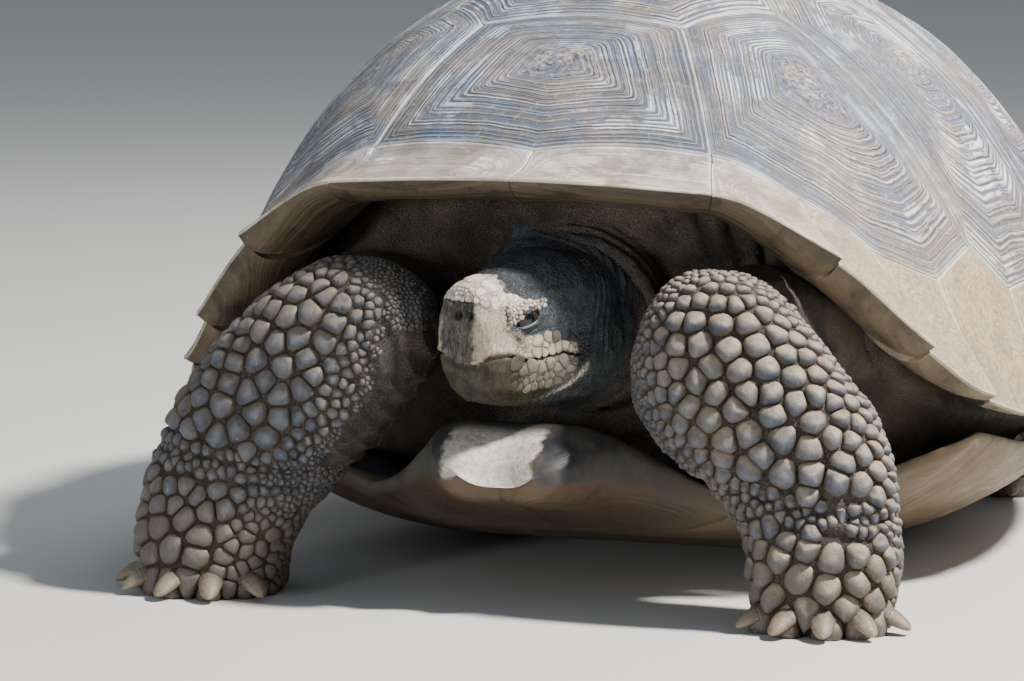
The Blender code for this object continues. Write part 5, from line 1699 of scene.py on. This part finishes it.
def build_belly(finish):
    y_ends = (BELLY_PLACES[0], BELLY_PLACES[-1])
    ease = np.linspace(-1, 1, BELLY_ROWS)
    places = y_ends[0] + (y_ends[1] - y_ends[0]) * (ease * (1.35 - 0.35 * ease ** 2) + 1) / 2
    turn = np.linspace(-1, 1, BELLY_ACROSS)
    across = turn * (1.3 - 0.3 * turn ** 2)
    points, rows, numbers = [], [], {"grown": [], "relief": [], "seam": [], "top": []}
    total = 0
    for y in places:
        tables = (BELLY_HALF, BELLY_UNDERSIDE, BELLY_THICKNESS)
        half, low, thick = (float(smooth_table(y, BELLY_PLACES, table)) for table in tables)
        inside = min(y - BRIDGE_FRONT, BRIDGE_REAR - y) / 0.085
        bridge = float(smoothstep(0, 1, inside))
        rise = LOBE_RISE + (BRIDGE_RISE - LOBE_RISE) * bridge
        notch = THROAT_NOTCH * max(0.0, 1 - (y - BELLY_PLACES[0]) / 0.07)
        x = across * half
        side = np.maximum(0.0, (np.abs(x) / half - BELLY_FLAT) / (1 - BELLY_FLAT))
        pinch = np.sqrt(np.maximum(1 - side ** 3, 0))
        dip = notch * groove(x, THROAT_NOTCH_WIDTH)
        base = low + rise * side ** BELLY_CURVE
        under = base + thick * 0.3 * (1 - pinch)
        over = base + thick * (0.45 + 0.55 * pinch) - 0.5 * dip
        grown, nearest_seam = belly_rings(x, np.full(len(x), y), half)
        spot = np.stack([x, np.full(len(x), y), base], 1)
        step = ring_relief(grown + 0.0015 * value_noise(spot, 0.04, 51), 401)
        away = smoothstep(0.0, 0.0035, nearest_seam)
        edge = smoothstep(1.0, 0.94, np.abs(across)) * smoothstep(0, 0.012, y - places[0])
        edge = edge * smoothstep(0, 0.012, places[-1] - y)
        bumps = edge * (0.0007 * step + 0.0016 * (away - 1) * 0.7 + 0.0006 * value_noise(spot, 0.03, 52))
        under = under + np.maximum(-bumps, 0) + 0.0009 * edge * (1 - step)
        over = over + bumps * 0.15 - 0.0012 * edge
        # The ends close over a rounded nose.
        closing = min(1.0, (y - places[0]) / 0.010, (places[-1] - y) / 0.010)
        closing = math.sqrt(max(0.0, 1 - (1 - closing) ** 2))
        middle = (under + over) / 2
        thin = (over - under) / 2 * (0.04 + 0.96 * closing)
        ring = np.concatenate([
            np.stack([x, y + dip, middle - thin], 1), np.stack([x, y + dip, middle + thin], 1)[::-1]])
        ring[:, 2] = np.maximum(ring[:, 2], 0.0)
        points.append(ring)
        rows.append(np.arange(total, total + len(ring)))
        total += len(ring)
        for key, value in (("grown", grown), ("relief", step), ("seam", nearest_seam)):
            numbers[key].append(np.concatenate([value, value[::-1]]))
        numbers["top"].append(np.concatenate([np.zeros(len(x)), np.ones(len(x))]))
    faces = strips(rows)
    for ring, flip in ((rows[0], False), (rows[-1], True)):
        a, b = ring[:BELLY_ACROSS], ring[BELLY_ACROSS:][::-1]
        quads = strip(a, b, closed=False)
        faces.append(quads[:, ::-1] if flip else quads)
    points = np.concatenate(points)
    faces = facing_out(points, faces)
    numbers = {key: np.concatenate(value) for key, value in numbers.items()}
    make_piece("belly_plate", points, faces, finish, numbers, replaces=("plastron",))


def belly_paint():
    p = Paint("belly_horn", 0.55, 0.4)
    grown, relief, seam, top = p.numbers("grown relief seam top")
    broad, mottle, fine = p.noise(7.0, 4.0, 0.6), p.noise(38.0, 5.0, 0.65), p.noise(220.0, 3.0, 0.6)
    lines = p.noise(240.0, 2.0, 0.6, line=p.plus(grown, p.times(broad, 0.006)))
    colour = p.mix(p.ramp(mottle, 0.35, 0.65), (0.30, 0.27, 0.22), (0.47, 0.44, 0.38))
    colour = p.lay(colour, (0.19, 0.13, 0.075), p.ramp(broad, 0.48, 0.64), 0.7)
    colour = p.lay(colour, (0.10, 0.075, 0.05), p.ramp(lines, 0.50, 0.70), 0.40)
    # Painted shade darkens the sides and underside of the belly plate.
    colour = p.lay(colour, (0.080, 0.050, 0.026), p.ramp(p.facing_up(), 0.45, -0.10), 0.72)
    y = p.axis("Y")
    bridge = p.ramp(y, -0.36, -0.26)
    # Painted shade darkens the front of the belly plate.
    colour = p.lay(colour, (0.075, 0.056, 0.038), p.ramp(y, -0.30, -0.36, 0.0, 0.85))
    colour = p.lay(colour, (0.118, 0.077, 0.042), bridge, 0.75)
    colour = p.lay(colour, SAND, bridge, p.ramp(relief, 0.35, 0.9), 0.5)
    # The throat lobe is dark horn with a pale patch over its middle, partly worn and partly a painted sun
    # patch on its upper face, and a brown lip.
    throat = p.ramp(y, -0.340, -0.430)
    horn = p.mix(p.ramp(mottle, 0.35, 0.7), (0.030, 0.031, 0.036), (0.085, 0.074, 0.060))
    colour = p.lay(colour, horn, throat)
    beside = p.math("ABSOLUTE", p.plus(p.axis("X"), 0.012))
    worn = p.ramp(p.plus(beside, p.times(p.noise(60.0, 5.0, 0.7), 0.034)), 0.066, 0.056)
    pale = p.mix(p.ramp(fine, 0.35, 0.65), (0.40, 0.355, 0.295), (0.56, 0.52, 0.46))
    colour = p.lay(colour, pale, worn, p.ramp(y, -0.455, -0.475), p.ramp(p.facing_up(), -0.35, 0.10),
                   p.ramp(mottle, 0.25, 0.5, 0.6, 1.0))
    colour = p.lay(colour, (0.105, 0.062, 0.030), throat, p.ramp(p.facing_up(), -0.10, -0.50), 0.7)
    colour = p.lay(colour, (0.05, 0.035, 0.022), p.ramp(seam, 0.0028, 0.0008), p.ramp(top, 0.6, 0.4), 0.6)
    return p.finish(colour, p.ramp(mottle, 0.3, 0.7, 0.42, 0.66), ((lines, 0.0007), (fine, 0.0003)))


# ---- hide and scales: colours ---------------------------------------------------------------------
HIDE_DARK, HIDE_BROWN = (0.050, 0.041, 0.034), (0.150, 0.118, 0.090)
FACE_DARK, FACE_GREY = (0.044, 0.053, 0.062), (0.118, 0.132, 0.144)
TAN, TAN_PALE, SHIELD_PALE_SUNLIT = (0.39, 0.305, 0.222), (0.58, 0.50, 0.40), (0.78, 0.715, 0.61)
CHIN_SHADE, SLATE, SLATE_PALE = (0.014, 0.013, 0.009), (0.028, 0.033, 0.044), (0.084, 0.092, 0.110)
DIRT, LEG_TAN, TOE = (0.130, 0.088, 0.056), (0.165, 0.132, 0.098), (0.108, 0.088, 0.070)


def shared_markings(p, colour, broad, mottle):
    """Lays the markings that skin and scales share over a colour."""
    pale, tan, chin, lit, crease, front = p.numbers("pale tan chin lit crease front")
    striation = p.noise(420.0, 4.0, 0.70, stretch=(1, 1, 0.30))
    worn = p.ramp(p.mean(mottle, striation), 0.40, 0.60)
    # The chin is dark, partly its own colour and partly painted shade.
    colour = p.lay(colour, p.mix(worn, CHIN_SHADE, (0.064, 0.057, 0.030)), chin, 0.96)
    # The tan of the beak is its own colour; the tan of the cheek is partly a painted sun patch.
    tan_colour = p.mix(p.ramp(mottle, 0.36, 0.64), TAN, TAN_PALE)
    colour = p.lay(colour, tan_colour, tan, p.ramp(broad, 0.18, 0.42, 0.55, 0.95))
    # Painted shade on the front of the beak and of the lower jaw.
    dark = p.mix(p.ramp(mottle, 0.4, 0.7), (0.008, 0.011, 0.016), (0.024, 0.029, 0.037))
    colour = p.lay(colour, dark, front, p.ramp(striation, 0.34, 0.64, 1.0, 0.72))
    # The pale shield is partly its own colour and partly a painted sun patch, and lit is a painted highlight
    # along the jaw's fold.
    grit = p.ramp(p.mean(mottle, p.noise(260.0, 5.0, 0.75)), 0.40, 0.58)
    colour = p.lay(colour, p.mix(grit, (0.46, 0.38, 0.30), SHIELD_PALE_SUNLIT), pale)
    colour = p.lay(colour, SHIELD_PALE_SUNLIT, lit)
    # Painted shade in the creases.
    return p.lay(colour, (0.008, 0.006, 0.006), p.math("MULTIPLY", crease, 0.96, clamp=True))


def skin_paint():
    p = Paint("skin_leather", 0.66, 0.32)
    broad, mottle, fine = p.noise(9.0, 4.0, 0.6), p.noise(70.0, 5.0, 0.65), p.noise(420.0, 3.0, 0.6)
    cells, small_cells = p.cells(330.0), p.cells(620.0)
    legs, face, feet, horny, chin = p.numbers("legs face feet horny chin")
    colour = p.mix(p.ramp(broad, 0.38, 0.66), HIDE_DARK, HIDE_BROWN)
    colour = p.lay(colour, (0.150, 0.120, 0.092), p.ramp(mottle, 0.50, 0.70), 0.45)
    face_colour = p.mix(p.ramp(mottle, 0.32, 0.68), FACE_DARK, FACE_GREY)
    face_colour = p.lay(face_colour, (0.125, 0.100, 0.075), p.ramp(broad, 0.45, 0.62), 0.35)
    flecks = p.ramp(p.noise(270.0, 5.0, 0.75), 0.55, 0.66)
    face_colour = p.lay(face_colour, (0.090, 0.108, 0.135), flecks, 0.42)
    colour = p.lay(colour, face_colour, face)
    leg_colour = p.mix(p.ramp(mottle, 0.4, 0.65), (0.030, 0.028, 0.027), (0.074, 0.063, 0.053))
    colour = p.lay(colour, leg_colour, legs, 0.8)
    colour = p.lay(colour, (0.060, 0.045, 0.034), feet, 0.6)
    colour = shared_markings(p, colour, broad, mottle)
    leathery = p.minus(1.0, p.times(horny, 0.92))
    colour = p.lay(colour, (0.020, 0.016, 0.014), p.ramp(cells, 0.10, 0.0), leathery, 0.42)
    # The horn of the beak is streaked and specked, less so on the chin, which is painted in shade.
    striation = p.noise(420.0, 4.0, 0.70, stretch=(1, 1, 0.30))
    streak = p.times(horny, p.ramp(striation, 0.46, 0.64))
    off_chin = p.minus(1.0, p.times(chin, 0.85))
    colour = p.lay(colour, (0.150, 0.128, 0.108), streak, 0.42, off_chin)
    speck = p.ramp(p.noise(300.0, 5.0, 0.75), 0.54, 0.66)
    colour = p.lay(colour, (0.13, 0.12, 0.112), speck, horny, off_chin, 0.5)
    dust = p.times(p.ramp(p.facing_up(), 0.35, 0.95), p.minus(0.22, p.times(face, 0.19)))
    colour = p.lay(colour, (0.30, 0.26, 0.21), dust)
    rough = p.ramp(mottle, 0.3, 0.7, 0.74, 0.54)
    hide_relief = p.times(p.ramp(cells, 0.0, 0.16), leathery)
    return p.finish(colour, rough, ((hide_relief, 0.0010), (p.ramp(small_cells, 0.0, 0.2), 0.0003),
                                    (fine, 0.0004), (streak, 0.0004)))


def scale_paint():
    p = Paint("scale_horn", 0.55, 0.42)
    share, tone, face, legs, feet = p.numbers("share tone face legs feet")
    broad, mottle, fine = p.noise(8.0, 4.0, 0.6), p.noise(85.0, 5.0, 0.65), p.noise(480.0, 3.0, 0.65)
    shade = p.math("ADD", p.times(tone, 0.30), p.times(mottle, 0.80), clamp=True)
    colour = p.mix(p.ramp(shade, 0.25, 0.90), SLATE, SLATE_PALE)
    colour = p.lay(colour, LEG_TAN, p.ramp(p.plus(p.times(tone, 0.12), broad), 0.50, 0.72), 0.50)
    # Painted highlight: the middles of the legs' scales are paler and bluer.
    colour = p.lay(colour, (0.195, 0.212, 0.245), legs, p.ramp(share, 0.72, 0.10, 0.0, 0.34))
    colour = p.lay(colour, TOE, feet, p.ramp(broad, 0.25, 0.6, 0.35, 0.8))
    # The head's scales are dark grey, partly their own colour and partly painted shade of the shell over the
    # skull.
    face_colour = p.mix(p.ramp(shade, 0.3, 0.9), (0.018, 0.023, 0.030), (0.044, 0.052, 0.063))
    colour = shared_markings(p, p.lay(colour, face_colour, face), broad, mottle)
    scratch = p.noise(300.0, 4.0, 0.7, stretch=(1, 1, 0.25))
    colour = p.lay(colour, (0.38, 0.37, 0.36), p.ramp(scratch, 0.56, 0.70), 0.26)
    # Soil lies between the scales.
    dirty = p.ramp(p.plus(share, p.times(mottle, 0.22)), 0.88, 1.10)
    soil = p.mix(broad, (0.050, 0.036, 0.026), DIRT)
    colour = p.lay(colour, soil, dirty, p.minus(0.85, p.times(face, 0.45)))
    # Dust lies on top of the legs' scales; on the left foreleg, which is nearer the key light, it is paler,
    # as painted sunlight.
    dust = p.times(p.ramp(p.facing_up(), 0.05, 0.80), p.ramp(mottle, 0.3, 0.6, 0.22, 0.66))
    dust_and_sunlight = p.mix(p.ramp(p.axis("X"), 0.0, 0.12), (0.200, 0.165, 0.125), (0.430, 0.345, 0.255))
    colour = p.lay(colour, dust_and_sunlight, dust, p.minus(1.0, face))
    lines = p.noise(9.0, 2.0, 0.6, line=p.plus(p.times(share, 1.6), p.times(tone, 9.0)))
    rough = p.ramp(mottle, 0.3, 0.7, 0.64, 0.44)
    return p.finish(colour, rough, ((lines, 0.0004), (mottle, 0.0010), (fine, 0.0005)))


def main():
    build_camera()
    build_light()
    build_floor()
    build_shell(shell_paint())
    skin = build_skin(skin_paint())
    tree = BVHTree.FromPolygons(mesh_arrays(skin.data)[0].tolist(), triangles(skin.data).tolist())
    scale_finish = scale_paint()
    for coat in (foreleg_scales, hindleg_scales, tail_scales, head_scales):
        coat(skin, tree, scale_finish)
    build_eyes(eye_paint(), lid_rim_paint())
    build_claws(claw_paint())
    build_belly(belly_paint())


main()
